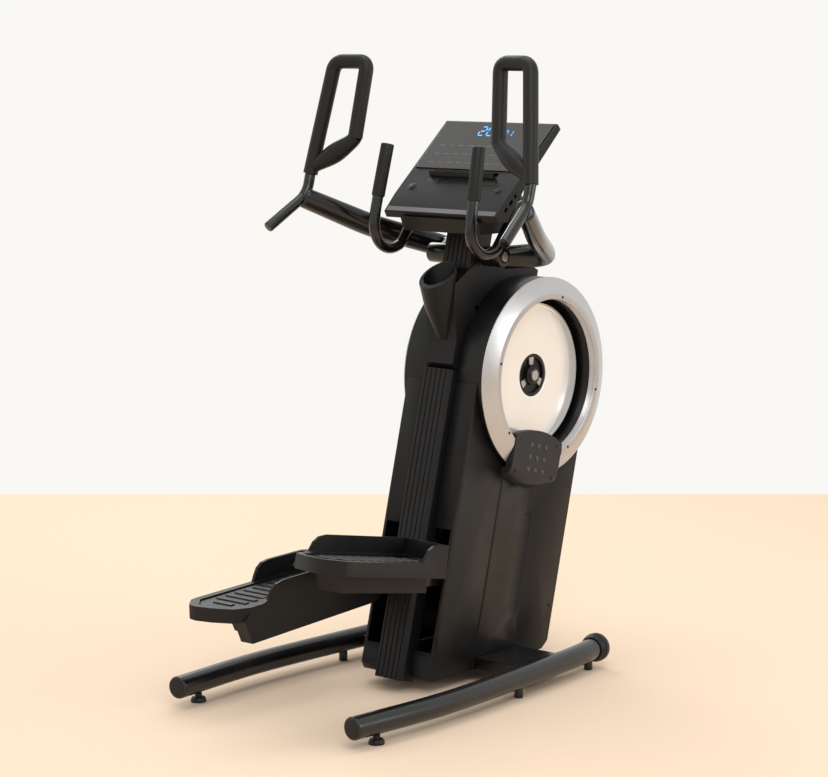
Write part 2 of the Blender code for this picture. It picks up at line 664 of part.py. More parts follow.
def make_foot_pad(name, side, frame):
    """A rubber foot pad with raised cross ribs, let into the tray's pocket."""
    pad = prism(pocket_plan(name, side, 0.001), 0.0454, 0.0500, "Z")
    pad = finish(f"{name}_foot_pad", pad, RUBBER, frame)
    ribs = bmesh.new()
    low, high = 0.1140, TRAY_X - 0.059
    for k in range(PAD_RIBS):
        y = TRAY_REAR[name] + 0.0675 + RIB_PITCH * k
        outline = [(side * low, y), (side * high, y), (side * high, y + 0.016), (side * low, y + 0.016)]
        add_prism(ribs, outline, 0.0480, 0.0535, "Z")
    join(pad, ribs, frame)


# ---------------------------------------------------------------- casing
def side_outline(inset, radius):
    """Side view outline of a lower casing half in column coordinates; its top is an arc."""
    rear, front = REAR_S + inset, FRONT_S - inset
    bottom = CASING_BOTTOM + inset
    chamfer = 0.022
    start = math.degrees(math.atan2(-math.sqrt(radius ** 2 - rear ** 2), rear))
    end = math.degrees(math.atan2(-math.sqrt(radius ** 2 - front ** 2), front))
    heel, toe = rear + 0.7 * chamfer, front - chamfer
    points = [(rear, column_t(rear, bottom) + chamfer), (heel, column_t(heel, bottom)),
              (toe, column_t(toe, bottom)), (front, column_t(front, bottom) + chamfer)]
    return points + list(reversed(arc((0, 0), radius, start, end, 16)))


def make_side_casings():
    """Lower casing halves: thin shells open towards the drum, with a pedal slot in the rear wall."""
    outside = COLUMN_HALF + 0.01
    for name, side in SIDES:
        shell = prism(side_outline(0.0, DRUM_R + 0.0010), *span(side, MIDDLE_X, COLUMN_HALF))
        shell = finish(f"{name}_side_casing", shell, CASING, COLUMN)
        inside = side_outline(WALL, DRUM_R - 0.010)
        cut(shell, prism(inside, *span(side, MIDDLE_X - 0.004, COLUMN_HALF - WALL)), COLUMN)
        cut(shell, side_box(side, (0.0500, 0.1185), (-0.40, 0.08), SLOT_Z))
        cut(shell, box((-0.4, 0.1045, 0.0), (0.4, 0.3005, 0.0725)))
        bottom = column_t(-0.1, CASING_BOTTOM) - 0.05
        groove = ((-0.1005, bottom), (-0.0945, bottom), (-0.0945, -0.25), (-0.1005, -0.25))
        cut(shell, prism(groove, *span(side, COLUMN_HALF - 0.0018, outside)), COLUMN)
        recess = stadium(((0.048, -0.680), (0.048, -0.420)), 0.022, 5)
        cut(shell, prism(recess, *span(side, COLUMN_HALF - 0.0022, outside)), COLUMN)


def make_drums():
    """Round covers over the disc, each with an opening for its rod, their rings and bump pads."""
    for name, side in SIDES:
        lip = RING_IN_R + 0.0034
        profile = ((MIDDLE_X, DRUM_R), (DRUM_X, DRUM_R), (DRUM_X, lip), (0.0850, lip),
                   (0.0850, lip + 0.003), (DRUM_X - 0.003, lip + 0.003),
                   (DRUM_X - 0.003, DRUM_R - 0.003), (MIDDLE_X, DRUM_R - 0.003))
        drum = finish(f"{name}_drum_cover", lathe(side, profile, 42), DARK_CASING, COLUMN)
        cut(drum, side_box(side, (0.0680, 0.0840), (0.190, 0.410), (0.520, 0.690)))
        make_ring(name, side)
        make_bump_pad(name, side)


def make_ring(name, side):
    """Bright conical ring with its screws, cut off square beside the bump pad."""
    base = DRUM_X + GAP
    profile = ((base, DRUM_R), (base + 0.003, DRUM_R), (RING_X, RING_LIP_R), (RING_X, RING_IN_R),
               (base, RING_IN_R - 0.001))
    ring = finish(f"{name}_ring", lathe(side, profile, 48), SILVER, COLUMN)
    cut(ring, side_box(side, (0.12, 0.19), (-PAD_HALF - 0.004, PAD_HALF + 0.004), (-0.400, -0.150)), COLUMN)
    screws = bmesh.new()
    for degrees in (-128.5, -52.5, -0.5, 89.5, 179.5):
        angle = math.radians(degrees)
        spot = (RING_SCREW_R * math.cos(angle), RING_SCREW_R * math.sin(angle))
        add_prism(screws, disc_of(spot, SCREW_R, 6), *span(side, RING_X - 0.002, RING_X + 0.0016))
    join(ring, screws, COLUMN)


def make_bump_pad(name, side):
    """Dark step-over pad below the disc, with nine small domes."""
    face = RING_X + 0.002
    top = arc((0, -0.445), 0.285, 113.2, 66.8, 6)
    bottom = arc((0, -0.020), 0.307, -68.6, -111.4, 6)
    pad = finish(f"{name}_bump_pad", prism(top + bottom, *span(side, DRUM_X + GAP, face)), PAD_GREY, COLUMN)
    skirt_top = arc((0, 0), DRUM_R + 0.001, -113.0, -67.0, 6)
    join(pad, prism(skirt_top + bottom, *span(side, COLUMN_HALF + GAP, face - 0.004)), COLUMN)
    domes = bmesh.new()
    for row in range(3):
        for column in range(3):
            spot = (-0.034 + 0.034 * column, -0.204 - 0.036 * row)
            add_prism(domes, disc_of(spot, 0.0058, 8), *span(side, face - 0.002, face + 0.0032))
    join(pad, domes, COLUMN)


def rib_grooves(half, depth, low, high):
    """Cutter boxes for the upright grooves of a ribbed rear face, in column coordinates."""
    work = bmesh.new()
    pitch = 2 * half / (GROOVES + 1)
    for k in range(GROOVES):
        x = -half + pitch * (k + 1)
        outline = ((x - 0.003, depth - 0.020), (x + 0.003, depth - 0.020), (x + 0.0015, depth + 0.004),
                   (x - 0.0015, depth + 0.004))
        add_prism(work, outline, low, high, "Z")
    return work


def make_middle_band():
    """Ribbed rear shroud, and the front shroud that closes the gap between the two sides."""
    bottom = column_t(BAND_S, CASING_BOTTOM)
    half, deep = SPINE_HALF, -0.262
    outline = ((half, deep), (half, BAND_S + 0.012), (half - 0.009, BAND_S), (-half + 0.009, BAND_S),
               (-half, BAND_S + 0.012), (-half, deep), (-half + WALL, deep), (-half + WALL, BAND_S + 0.014),
               (half - WALL, BAND_S + 0.014), (half - WALL, deep))
    band = finish("rear_shroud", prism(outline, bottom, SEAM_T, "Z"), CASING, COLUMN)
    cut(band, rib_grooves(half, BAND_S, bottom - 0.1, SEAM_T + 0.1), COLUMN)

    inner = DRUM_R - WALL
    end = math.degrees(math.asin(FRONT_S / DRUM_R)) - 90
    tail = column_t(FRONT_S, CASING_BOTTOM)
    outer_arc = arc((0, 0), DRUM_R, 93.6, end, 18)
    inner_arc = arc((0, 0), inner, end, 93.6, 18)
    strip = outer_arc + [(FRONT_S, tail), (FRONT_S - WALL, tail)] + inner_arc
    finish("front_shroud", prism(strip, -MIDDLE_X + GAP, MIDDLE_X - GAP), CASING, COLUMN)


def make_upper_housing():
    """Upper housing over the mast with the cup holder, and the ribbed neck above it."""
    outline = ((-0.296, SEAM_T + 0.001), (-0.262, SEAM_T + 0.001), (-0.262, 0.150), (-0.060, 0.279),
               (-0.0205, 0.2913), (0.0120, 0.2913), (0.0120, 0.3120), (-0.030, 0.320), (-0.150, 0.330),
               (-0.2265, 0.318), (-0.2631, 0.2992), (-0.360, 0.2028), (-0.352, 0.150), (-0.3135, 0.050),
               (-0.3135, -0.020))
    housing = finish("upper_housing", prism(outline, -SPINE_HALF, SPINE_HALF), CASING, COLUMN)
    cup = cup_solid(((-0.184, 0.020, 0.0285), (-0.084, 0.0445, 0.0095), (0.0, CUP_R, 0.0)))
    join(housing, cup, location=(0, CUP_Y, CUP_Z))
    well = cup_solid(((-0.060, 0.0360, 0.0095), (0.040, CUP_R - 0.0015, 0.0)))
    cut(housing, well, location=(0, CUP_Y, CUP_Z))
    low, high = mast_range()
    passage = ((low - GAP, -0.1), (high + GAP, -0.1), (high + GAP, 0.5), (low - GAP, 0.5))
    cut(housing, prism(passage, -0.0304, 0.0304), COLUMN)
    cut(housing, rod(ARM_AXLE_R + GAP, -0.08, 0.08, 20), location=(0, AXLE_Y, AXLE_Z))

    rear = -0.3085
    top = column_t(rear, 1.2876)
    neck = ((rear, 0.2552), (-0.2640, 0.2995), (-0.2268, 0.3186), (-0.2268, column_t(-0.2268, 1.2876)),
            (rear, top))
    neck = finish("neck_cover", prism(neck, -0.050, 0.050), CASING, COLUMN)
    cut(neck, rib_grooves(0.050, rear, 0.1, 0.6), COLUMN)
    cut(neck, prism(passage, -0.0304, 0.0304), COLUMN)
    cut(neck, rod(ARM_AXLE_R + GAP, -0.08, 0.08, 20), location=(0, AXLE_Y, AXLE_Z))


def cup_solid(levels):
    """A round cup body about the rim's middle, from (height, radius, forward shift) levels.

    The lowest level is level, the topmost follows the sloping rim, and one between is halfway.
    """
    work = bmesh.new()
    rings = []
    steps = 24
    for index, (height, radius, shift) in enumerate(levels):
        slope = CUP_SLOPE * index / (len(levels) - 1)
        ring = []
        for k in range(steps):
            angle = 2 * math.pi * k / steps
            ahead = radius * math.sin(angle)
            ring.append(work.verts.new((radius * math.cos(angle), shift + ahead, height + slope * ahead)))
        rings.append(ring)
    work.faces.new(rings[0])
    work.faces.new(rings[-1])
    for here, there in zip(rings, rings[1:]):
        for k in range(steps):
            j = (k + 1) % steps
            work.faces.new((here[k], here[j], there[j], there[k]))
    bmesh.ops.recalc_face_normals(work, faces=work.faces)
    return work


# ---------------------------------------------------------------- console
def make_console():
    """Tilted display console with its face, ledge, grille, ports and two buttons."""
    length = CONSOLE_LENGTH
    outline = ((0.000, 0.000), (0.066, 0.006), (length, 0.006), (length, -0.016), (0.200, -0.022),
               (0.030, -0.048), (-0.004, -0.020))
    housing = finish("console_housing", prism(outline, -CONSOLE_HALF, CONSOLE_HALF), CASING, CONSOLE)
    cut(housing, box((-0.120, 0.152, -0.006), (0.120, 0.168, 0.02)), CONSOLE)
    cut(housing, box((-0.130, 0.1185, 0.003), (0.130, 0.1405, 0.02)), CONSOLE)
    for side in (1, -1):
        well = rod(BUTTON_R + 0.0006, -0.008, 0.02, 16, "Z")
        cut(housing, well, CONSOLE, (side * BUTTON_AT[0], BUTTON_AT[1], 0.0))
    for y, width in ((0.040, 0.014), (0.068, 0.018), (0.098, 0.010)):
        cut(housing, box((0.196, y, -0.022), (0.215, y + width, -0.012)), CONSOLE)

    finish("console_face", box((-0.196, 0.176, 0.0064), (0.196, 0.374, 0.0090)), GLASS, CONSOLE)
    ledge = ((0.1415, 0.0064), (0.1500, 0.0064), (0.1510, 0.0200), (0.1480, 0.0240), (0.1415, 0.0120))
    finish("tablet_ledge", prism(ledge, -0.118, 0.118), RUBBER, CONSOLE)

    grille = box((-0.129, 0.1190, 0.0034), (0.129, 0.1400, 0.0056))
    grille = finish("fan_grille", grille, DARK_CASING, CONSOLE)
    slots = bmesh.new()
    for k in range(3):
        y = 0.1215 + 0.0058 * k
        add_prism(slots, ((y, 0.0), (y + 0.0030, 0.0), (y + 0.0030, 0.0100), (y, 0.0100)), -0.080, 0.080)
    cut(grille, slots, CONSOLE)

    for name, side in SIDES:
        cap = turned(((-0.0040, 0.0), (-0.0040, BUTTON_R), (0.0080, BUTTON_R), (0.0090, BUTTON_R - 0.001),
                      (0.0090, 0.0)), 16, axis="Z")
        finish(f"{name}_console_button", cap, RUBBER, CONSOLE, (side * BUTTON_AT[0], BUTTON_AT[1], 0.0))
    make_bracket()


def make_bracket():
    """Cover box over the mast's head; its sloping top follows the console's underside."""
    outline = ((0.0930, 1.3280), (0.1100, 1.2880), (0.2250, 1.2880), (0.2900, 1.3850), (0.2900, 1.5000),
               (0.1420, 1.3600))
    cover = finish("console_bracket_cover", prism(outline, -BRACKET_HALF, BRACKET_HALF), CASING)
    slope = ((-0.10, 0.3), (-0.0044, -0.0204), (0.0300, -0.0485), (0.2000, -0.0225), (0.60, -0.0092),
             (0.60, 0.3))
    cut(cover, prism(slope, -0.3, 0.3), CONSOLE)
    low, high = mast_range()
    socket = ((low - GAP, 0.1), (high + GAP, 0.1), (high + GAP, MAST_TOP + GAP), (low - GAP, MAST_TOP + GAP))
    cut(cover, prism(socket, -0.0304, 0.0304), COLUMN)


# ---------------------------------------------------------------- handles
def grip_route(side):
    """Centre line of a fixed grip: down the sleeve, round the bend and up to the bracket cover."""
    route = [(0.1666, 0.0678, 1.5330), (0.1750, 0.0347, 1.3865)]
    route += [(0.1760, y, z) for y, z in arc((0.0930, 1.3080), 0.0730, 167.3, 317.6, 5)]
    route += [(0.1760, 0.2280, 1.3620), (0.1720, 0.2420, 1.3760), (0.1620, 0.2500, 1.3840),
              (0.1520, 0.2520, 1.3860), (BRACKET_HALF + GAP, 0.2520, 1.3860)]
    return mirror_x(route, side)


def make_fixed_grips():
    """Two bent tubes that carry the fixed grips, and a rubber sleeve on each."""
    for name, side in SIDES:
        route = grip_route(side)
        finish(f"{name}_fixed_grip", tube(route, 0.0160, 0.0135, 12), BLACK_PAINT)
        top, low = Vector(route[0]), Vector(route[1])
        along = (low - top).normalized()
        sleeve = tube([top - along * 0.003, top + along * 0.150], 0.0192, 0.0164, 16)
        finish(f"{name}_grip_sleeve", sleeve, RUBBER)


def make_arms():
    """Swinging arms on a common axle: hub, bent leg, upright handle with its loop and stub."""
    finish("arm_axle", rod(ARM_AXLE_R, -0.137, 0.137, 20), STEEL, location=(0, AXLE_Y, AXLE_Z))
    for name, side in SIDES:
        frame = empty(f"{name}_arm_frame", (0, AXLE_Y, AXLE_Z))
        make_arm(name, side, frame)
        make_loop(name, side, frame)


def arm_path(side, points):
    """World points written in the arm frame, on one side of the machine."""
    return [(side * x, y - AXLE_Y, z - AXLE_Z) for x, y, z in points]


def make_arm(name, side, frame):
    """One swinging arm: bored hub, bent oval leg, and the handle tube with its rear stub.

    The handle tube reaches up into the loop grip's bore.
    """
    hub = ((0.0620, ARM_AXLE_R + GAP), (0.1340, ARM_AXLE_R + GAP), (0.1340, 0.0270), (0.1310, 0.0300),
           (0.0650, 0.0300), (0.0620, 0.0270))
    arm = finish(f"{name}_arm", lathe(side, hub, 20), BLACK_PAINT, frame)
    bends = ((0.1060, 0.2560, 1.2130), (0.1820, 0.3650, 1.2180), (0.3000, 0.1550, 1.2880),
             (0.4045, -0.0320, 1.3790))
    leg = rounded_path(arm_path(side, bends), 0.055, 4)
    swell = (0.86, 0.96, 1.0, 1.03, 1.04, 1.04, 1.03, 1.02, 1.0, 0.99, 0.98, 0.90)
    join(arm, tube(leg, 0.0345, sides=12, flatten=0.78, grow=swell), frame)
    handle = rounded_path(arm_path(side, ((0.4300, -0.1530, 1.2960), (0.4020, -0.0170, 1.3880),
                                          (0.4020, 0.0034, 1.4633))), 0.030, 3)
    join(arm, tube(handle, 0.0160, sides=12), frame)


def make_loop(name, side, frame):
    """Rubber loop grip: outboard bar, top bar, inboard bar and a wide web back to the collar."""
    collar, corner = (0.4020, -0.0019, 1.4445), (0.3550, 0.0560, 1.7680)
    top_in, low_in = (0.2420, 0.0680, 1.7680), (0.2620, 0.0360, 1.5500)
    bars = rounded_path(arm_path(side, (collar, corner, top_in, low_in)), 0.024, 3)
    loop = finish(f"{name}_loop_grip", tube(bars, 0.0215, sides=12), RUBBER, frame)
    web = arm_path(side, ((0.2612, 0.0368, 1.5560), (0.2760, 0.0330, 1.5390), (0.3400, 0.0150, 1.4960),
                          (0.3980, 0.0010, 1.4620)))
    join(loop, tube(web, 0.0215, sides=12, grow=(0.97, 1.15, 1.40, 0.80)), frame)
    bore = arm_path(side, ((0.4020, -0.0074, 1.4240), (0.4020, 0.0037, 1.4643)))
    cut(loop, tube(bore, 0.0172, sides=12), frame)


make_rails()
make_frame()
make_drive()
make_links()
make_pedals()
make_side_casings()
make_drums()
make_middle_band()
make_upper_housing()
make_console()
make_fixed_grips()
make_arms()
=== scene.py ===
"""Looks of a stand-up climbing trainer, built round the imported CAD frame.  Metres, +Z up."""

import json
import math

import bmesh
import bpy
from mathutils import Matrix, Vector


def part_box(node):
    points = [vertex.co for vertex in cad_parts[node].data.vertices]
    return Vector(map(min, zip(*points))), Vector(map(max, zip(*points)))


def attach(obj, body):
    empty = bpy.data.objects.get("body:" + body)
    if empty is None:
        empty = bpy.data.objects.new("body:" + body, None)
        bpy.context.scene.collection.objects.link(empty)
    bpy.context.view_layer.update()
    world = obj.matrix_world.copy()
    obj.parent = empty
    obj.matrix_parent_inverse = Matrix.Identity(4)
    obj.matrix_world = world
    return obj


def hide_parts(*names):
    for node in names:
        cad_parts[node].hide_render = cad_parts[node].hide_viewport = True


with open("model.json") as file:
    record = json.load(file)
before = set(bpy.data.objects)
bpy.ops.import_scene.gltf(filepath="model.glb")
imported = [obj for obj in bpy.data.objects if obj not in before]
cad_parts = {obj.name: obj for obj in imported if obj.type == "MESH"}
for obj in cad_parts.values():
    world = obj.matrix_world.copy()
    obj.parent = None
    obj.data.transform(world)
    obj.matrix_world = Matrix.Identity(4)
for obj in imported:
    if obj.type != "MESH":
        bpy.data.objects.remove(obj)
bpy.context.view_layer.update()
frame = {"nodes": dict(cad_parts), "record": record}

SIDES = (("right", 1), ("left", -1))
LEAN = math.radians(14.5)                 # forward lean of the column
CONSOLE_TILT = math.radians(40.5)
SHARP_ANGLE = math.radians(32.0)          # edges sharper than this stay crisp
BEVEL_ANGLE = 26.0                        # degrees; edges sharper than this get a fillet

BODY_OF = {n: b for b, ns in frame["record"]["behaviour"]["bodies"].items() for n in ns}
SLOT_OF = {row["node"]: row["material_slot"] for row in frame["record"]["subparts"]}


def middle(node):
    """Centre of a CAD node's box."""
    low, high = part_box(node)
    return (low + high) / 2


DISC = middle("right_disc")
COLUMN = Matrix.Translation((0, DISC.y, DISC.z)) @ Matrix.Rotation(-LEAN, 4, "X")
DISC_R = (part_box("right_disc")[1].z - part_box("right_disc")[0].z) / 2
DISC_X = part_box("right_disc")[1].x
RING_SCREW_RISE = 0.0016                  # how far the CAD ring's screws stand above its lip
RING_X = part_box("right_ring")[1].x - RING_SCREW_RISE
RING_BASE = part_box("right_ring")[0].x
DRUM_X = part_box("right_drum_cover")[1].x
DRUM_IN_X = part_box("right_drum_cover")[0].x
DRUM_R = 0.2905
RING_IN_R, RING_LIP_R, RING_SCREW_R = 0.2267, 0.2446, 0.2361
RING_SCREW_ANGLES = (-128.5, -52.5, -0.5, 89.5, 179.5)
SCREW_SINK = 0.0006                       # how far a screw head sits into its face
CASING_X = 0.1284                         # just outside the casing's side face
CASING_SCREW_X = 0.1276                   # just inside it
# places on the column's sides are (s, t): forward, and up along its lean, from the disc's centre
CASING_SCREWS = ((0.232, -0.30), (0.232, -0.66), (-0.268, -0.66), (-0.270, -0.36))
RECESS_S, RECESS_T = 0.048, -0.550        # middle of the casing's recess
RECESS_HALF, RECESS_R = 0.120, 0.026      # half its straight length, and its end radius
RECESS_BOTTOM = 0.1250
DOME_TOP_T, DOME_PITCH_S, DOME_PITCH_T = -0.204, 0.034, 0.036
PAD_SCREWS = ((-0.088, -0.192), (0.088, -0.192), (-0.088, -0.290), (0.088, -0.290))
PAD_SCREW_R = 0.0050
HUB_R = 0.0625
SPOKE_ANGLES = (90, 210, 330)
RAIL_R = 0.0315
RAIL_Z = 0.0580
RAIL_REAR_END = 0.0115                    # the tube's closed end, behind the last point of its path
RAIL_PATH = ((0.3227, -0.636), (0.3464, -0.314), (0.3330, 0.037), (0.3120, 0.3205), (0.2910, 0.462))
FLOOR_PADS = ((0.3300, 0.052), (0.2930, 0.432))
FLOOR_PAD_R = 0.0128
FOOT = middle("right_levelling_foot")
GRIP_R, SLEEVE_R, LOOP_R, ARM_R = 0.0158, 0.0190, 0.0213, 0.0345
AXLE = Vector((0, 0.228, 1.217))          # axis of both swinging arms
CONSOLE_AT = (0, 0.096, 1.341)
CONSOLE = Matrix.Translation(CONSOLE_AT) @ Matrix.Rotation(CONSOLE_TILT, 4, "X")
# each pedal's pin (y, z), the rear end of its tray, and its tilt at rest
PIN = {"right": (0.01543, 0.32035), "left": (0.01543, 0.28965)}
TRAY_REAR = {"right": -0.6755, "left": -0.7095}
PEDAL_TILT = {"right": math.radians(-10.2), "left": math.radians(2.3)}
RIB_COUNT, RIB_PITCH, RIB_WIDE = 11, 0.0355, 0.017
DIGIT_Y, DIGIT_BIG, DIGIT_SMALL = 0.318, 0.020, 0.013
CONSOLE_FACE_Z = 0.0089                   # where lit and printed marks start
KEY_ROWS, KEYS_IN_ROW, KEY_START, KEY_PITCH = (0.200, 0.236, 0.272), 10, -0.160, 0.034
BUTTON_X, BUTTON_Y = 0.158, 0.098
CAMERA_AT = (4.570, -5.443, 1.866)
CAMERA_LENS, CAMERA_SENSOR = 110.26, 36.0
VIEW_AZIMUTH, VIEW_ELEVATION = math.radians(40.085), math.radians(8.116)
FLOOR_REACH, FLOOR_END = 60, 2.96         # the floor's half width, and its edge behind the object


# ---------------------------------------------------------------- materials
CLOUD_LOW, CLOUD_HIGH = 0.3, 0.7          # the part of the noise that colour and gloss use
EDGE_RANGE = (0.52, 0.60)                 # pointiness from flat to edge


def link(tree, source, target):
    """Joins one shader socket to another."""
    tree.links.new(source, target)


def node(tree, kind, **values):
    """Adds a shader node and sets its input sockets."""
    made = tree.nodes.new(kind)
    for key, value in values.items():
        made.inputs[key].default_value = value
    return made


def ramp(tree, source, low, high, start, end):
    """A colour ramp from low to high between two places of its input."""
    made = tree.nodes.new("ShaderNodeValToRGB")
    made.color_ramp.elements[0].position = start
    made.color_ramp.elements[0].color = (*low, 1.0)
    made.color_ramp.elements[1].position = end
    made.color_ramp.elements[1].color = (*high, 1.0)
    link(tree, source, made.inputs["Fac"])
    return made.outputs["Color"]


def surface(name, colour, roughness, metallic=0.0, grain=900.0, bump=0.12, wear=0.25, coat=0.0,
            specular=0.5, spread=0.06, stretch=(1, 1, 1), mottle=0.14):
    """A procedural finish: mottled colour, worn edges, uneven gloss and a fine moulded or brushed grain."""
    made = bpy.data.materials.new(name)
    made.use_nodes = True
    tree = made.node_tree
    shader = tree.nodes["Principled BSDF"]
    shader.inputs["Metallic"].default_value = metallic
    shader.inputs["Coat Weight"].default_value = coat
    shader.inputs["Coat Roughness"].default_value = 0.12
    shader.inputs["Specular IOR Level"].default_value = specular
    place = tree.nodes.new("ShaderNodeTexCoord")
    sized = node(tree, "ShaderNodeMapping", Scale=stretch)
    link(tree, place.outputs["Object"], sized.inputs["Vector"])
    cloud = node(tree, "ShaderNodeTexNoise", Scale=9.0, Detail=5.0, Roughness=0.6)
    link(tree, place.outputs["Object"], cloud.inputs["Vector"])
    fine = node(tree, "ShaderNodeTexNoise", Scale=grain, Detail=3.0, Roughness=0.55)
    link(tree, sized.outputs["Vector"], fine.inputs["Vector"])
    dark = [c * (1 - mottle) for c in colour]
    light = [min(1.0, c * (1 + mottle)) for c in colour]
    base = ramp(tree, cloud.outputs["Fac"], dark, light, CLOUD_LOW, CLOUD_HIGH)
    edge = tree.nodes.new("ShaderNodeNewGeometry")
    worn = ramp(tree, edge.outputs["Pointiness"], (0, 0, 0), (wear, wear, wear), *EDGE_RANGE)
    mix = tree.nodes.new("ShaderNodeMix")
    mix.data_type = "RGBA"
    link(tree, worn, mix.inputs["Factor"])
    link(tree, base, mix.inputs["A"])
    mix.inputs["B"].default_value = (*[min(1.0, c * 1.6 + 0.02) for c in colour], 1.0)
    link(tree, mix.outputs["Result"], shader.inputs["Base Color"])
    ends = {"From Min": CLOUD_LOW, "From Max": CLOUD_HIGH,
            "To Min": max(0.02, roughness - spread), "To Max": roughness + spread}
    gloss = node(tree, "ShaderNodeMapRange", **ends)
    link(tree, cloud.outputs["Fac"], gloss.inputs["Value"])
    link(tree, gloss.outputs["Result"], shader.inputs["Roughness"])
    relief = node(tree, "ShaderNodeBump", Strength=bump, Distance=0.0004)
    link(tree, fine.outputs["Fac"], relief.inputs["Height"])
    link(tree, relief.outputs["Normal"], shader.inputs["Normal"])
    return made


def lamp_digits():
    """Blue lit segments of the display."""
    made = surface("digit_blue", (0.02, 0.20, 0.55), 0.4, bump=0.0)
    shader = made.node_tree.nodes["Principled BSDF"]
    shader.inputs["Emission Color"].default_value = (0.03, 0.35, 1.0, 1.0)
    shader.inputs["Emission Strength"].default_value = 2.2
    return made


LOOK = {
    "black_paint": surface("black_paint", (0.0055, 0.0055, 0.0060), 0.26, grain=500, bump=0.04,
                           coat=0.2, specular=0.4),
    "gloss_black": surface("gloss_black", (0.0045, 0.0045, 0.0050), 0.20, grain=400, bump=0.03, coat=0.25,
                           spread=0.03, specular=0.4),
    "casing_plastic": surface("casing_plastic", (0.0060, 0.0060, 0.0066), 0.42, grain=1400, bump=0.22,
                              specular=0.24),
    "drum_plastic": surface("drum_plastic", (0.0045, 0.0045, 0.0050), 0.38, grain=1200, bump=0.15,
                            specular=0.30),
    "grip_rubber": surface("grip_rubber", (0.0060, 0.0060, 0.0064), 0.44, grain=1700, bump=0.35,
                           wear=0.15, specular=0.30),
    "ring_silver": surface("ring_silver", (0.50, 0.50, 0.51), 0.30, metallic=0.85, grain=900, bump=0.04,
                           wear=0.10, mottle=0.03),
    "disc_chrome": surface("disc_chrome", (0.97, 0.97, 0.97), 0.14, metallic=0.5, grain=60, bump=0.01,
                           wear=0.0, spread=0.02, mottle=0.01),
    "steel": surface("steel", (0.42, 0.42, 0.43), 0.33, metallic=1.0, grain=300, bump=0.10,
                     stretch=(1, 8, 8)),
    "pad_grey": surface("pad_grey", (0.0150, 0.0150, 0.0165), 0.50, grain=1500, bump=0.30, specular=0.35),
    "console_lens": surface("console_lens", (0.004, 0.004, 0.005), 0.10, grain=50, bump=0.01, coat=0.6,
                            spread=0.02),
    "belt_rubber": surface("belt_rubber", (0.012, 0.012, 0.012), 0.70, grain=800, bump=0.3),
}
SCREW_BLACK = surface("screw_black", (0.010, 0.010, 0.010), 0.28, metallic=0.3, grain=700)
STUD_GREY = surface("stud_grey", (0.045, 0.045, 0.048), 0.38, grain=1500, bump=0.15)
# one grey for the printed key marks and for a painted highlight strip on the console's lower bevel
MARKING_AND_HIGHLIGHT = surface("marking_and_highlight_grey", (0.11, 0.11, 0.12), 0.45, grain=900, bump=0.02)
SPOKE_BRIGHT = surface("spoke_bright", (0.45, 0.45, 0.46), 0.25, metallic=0.9, grain=700, bump=0.04)
DIGITS = lamp_digits()


# ---------------------------------------------------------------- mesh helpers
def piece(name, work, look, body, stands_for=(), place=None, bevel=0.0):
    """Turns a bmesh into a shown piece that rides on a CAD body."""
    bmesh.ops.remove_doubles(work, verts=work.verts, dist=1e-6)
    bmesh.ops.recalc_face_normals(work, faces=work.faces)
    if place is not None:
        work.transform(place)
    mesh = bpy.data.meshes.new(name)
    work.to_mesh(mesh)
    work.free()
    mesh.shade_smooth()
    mesh.set_sharp_from_angle(angle=SHARP_ANGLE)
    mesh.materials.append(look)
    made = bpy.data.objects.new(name, mesh)
    bpy.context.scene.collection.objects.link(made)
    if bevel:
        round_edges(made, bevel)
    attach(made, body)
    if stands_for:
        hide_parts(*stands_for)
    return made


def round_edges(made, width, angle=BEVEL_ANGLE):
    """Rounds the edges of a piece with a fillet of the given width."""
    step = made.modifiers.new("fillet", "BEVEL")
    step.width = width
    step.segments = 3
    step.limit_method = "ANGLE"
    step.angle_limit = math.radians(angle)
    step.use_clamp_overlap = True
    step.harden_normals = False
    even = made.modifiers.new("normals", "WEIGHTED_NORMAL")
    even.keep_sharp = False


def refined(name, width, angle=BEVEL_ANGLE):
    """A CAD node's shape with its flat faces merged and its edges rounded."""
    work = bmesh.new()
    work.from_mesh(frame["nodes"][name].data)
    bmesh.ops.remove_doubles(work, verts=work.verts, dist=1e-5)
    bmesh.ops.dissolve_limit(work, angle_limit=math.radians(0.6), verts=work.verts, edges=work.edges)
    slot = SLOT_OF[name]
    made = piece(f"{name}_skin", work, LOOK[slot], BODY_OF[name], (name,))
    round_edges(made, width, angle)
    return made


def cut(target, work, place=None):
    """Cuts a shape out of a piece and applies it at once."""
    bmesh.ops.recalc_face_normals(work, faces=work.faces)
    if place is not None:
        work.transform(place)
    mesh = bpy.data.meshes.new("cutter")
    work.to_mesh(mesh)
    work.free()
    tool = bpy.data.objects.new("cutter", mesh)
    bpy.context.scene.collection.objects.link(tool)
    step = target.modifiers.new("cut", "BOOLEAN")
    step.object = tool
    step.operation = "DIFFERENCE"
    step.solver = "EXACT"
    bpy.context.view_layer.update()
    graph = bpy.context.evaluated_depsgraph_get()
    solid = bpy.data.meshes.new_from_object(target.evaluated_get(graph))
    target.modifiers.clear()
    target.data = solid
    target.data.set_sharp_from_angle(angle=SHARP_ANGLE)
    bpy.data.objects.remove(tool)


def prism(outline, low, high, axis="X"):
    """Extrudes a closed outline; points are (y, z) for X and (x, y) for Z."""
    work = bmesh.new()
    rings = []
    for depth in (low, high):
        ring = []
        for a, b in outline:
            ring.append(work.verts.new((depth, a, b) if axis == "X" else (a, b, depth)))
        rings.append(ring)
    count = len(outline)
    work.faces.new(rings[0])
    work.faces.new(list(reversed(rings[1])))
    for i in range(count):
        j = (i + 1) % count
        work.faces.new((rings[0][j], rings[0][i], rings[1][i], rings[1][j]))
    bmesh.ops.recalc_face_normals(work, faces=work.faces)
    return work


def block(x, y, z):
    """A box from three (low, high) spans."""
    return prism(((y[0], z[0]), (y[1], z[0]), (y[1], z[1]), (y[0], z[1])), x[0], x[1])


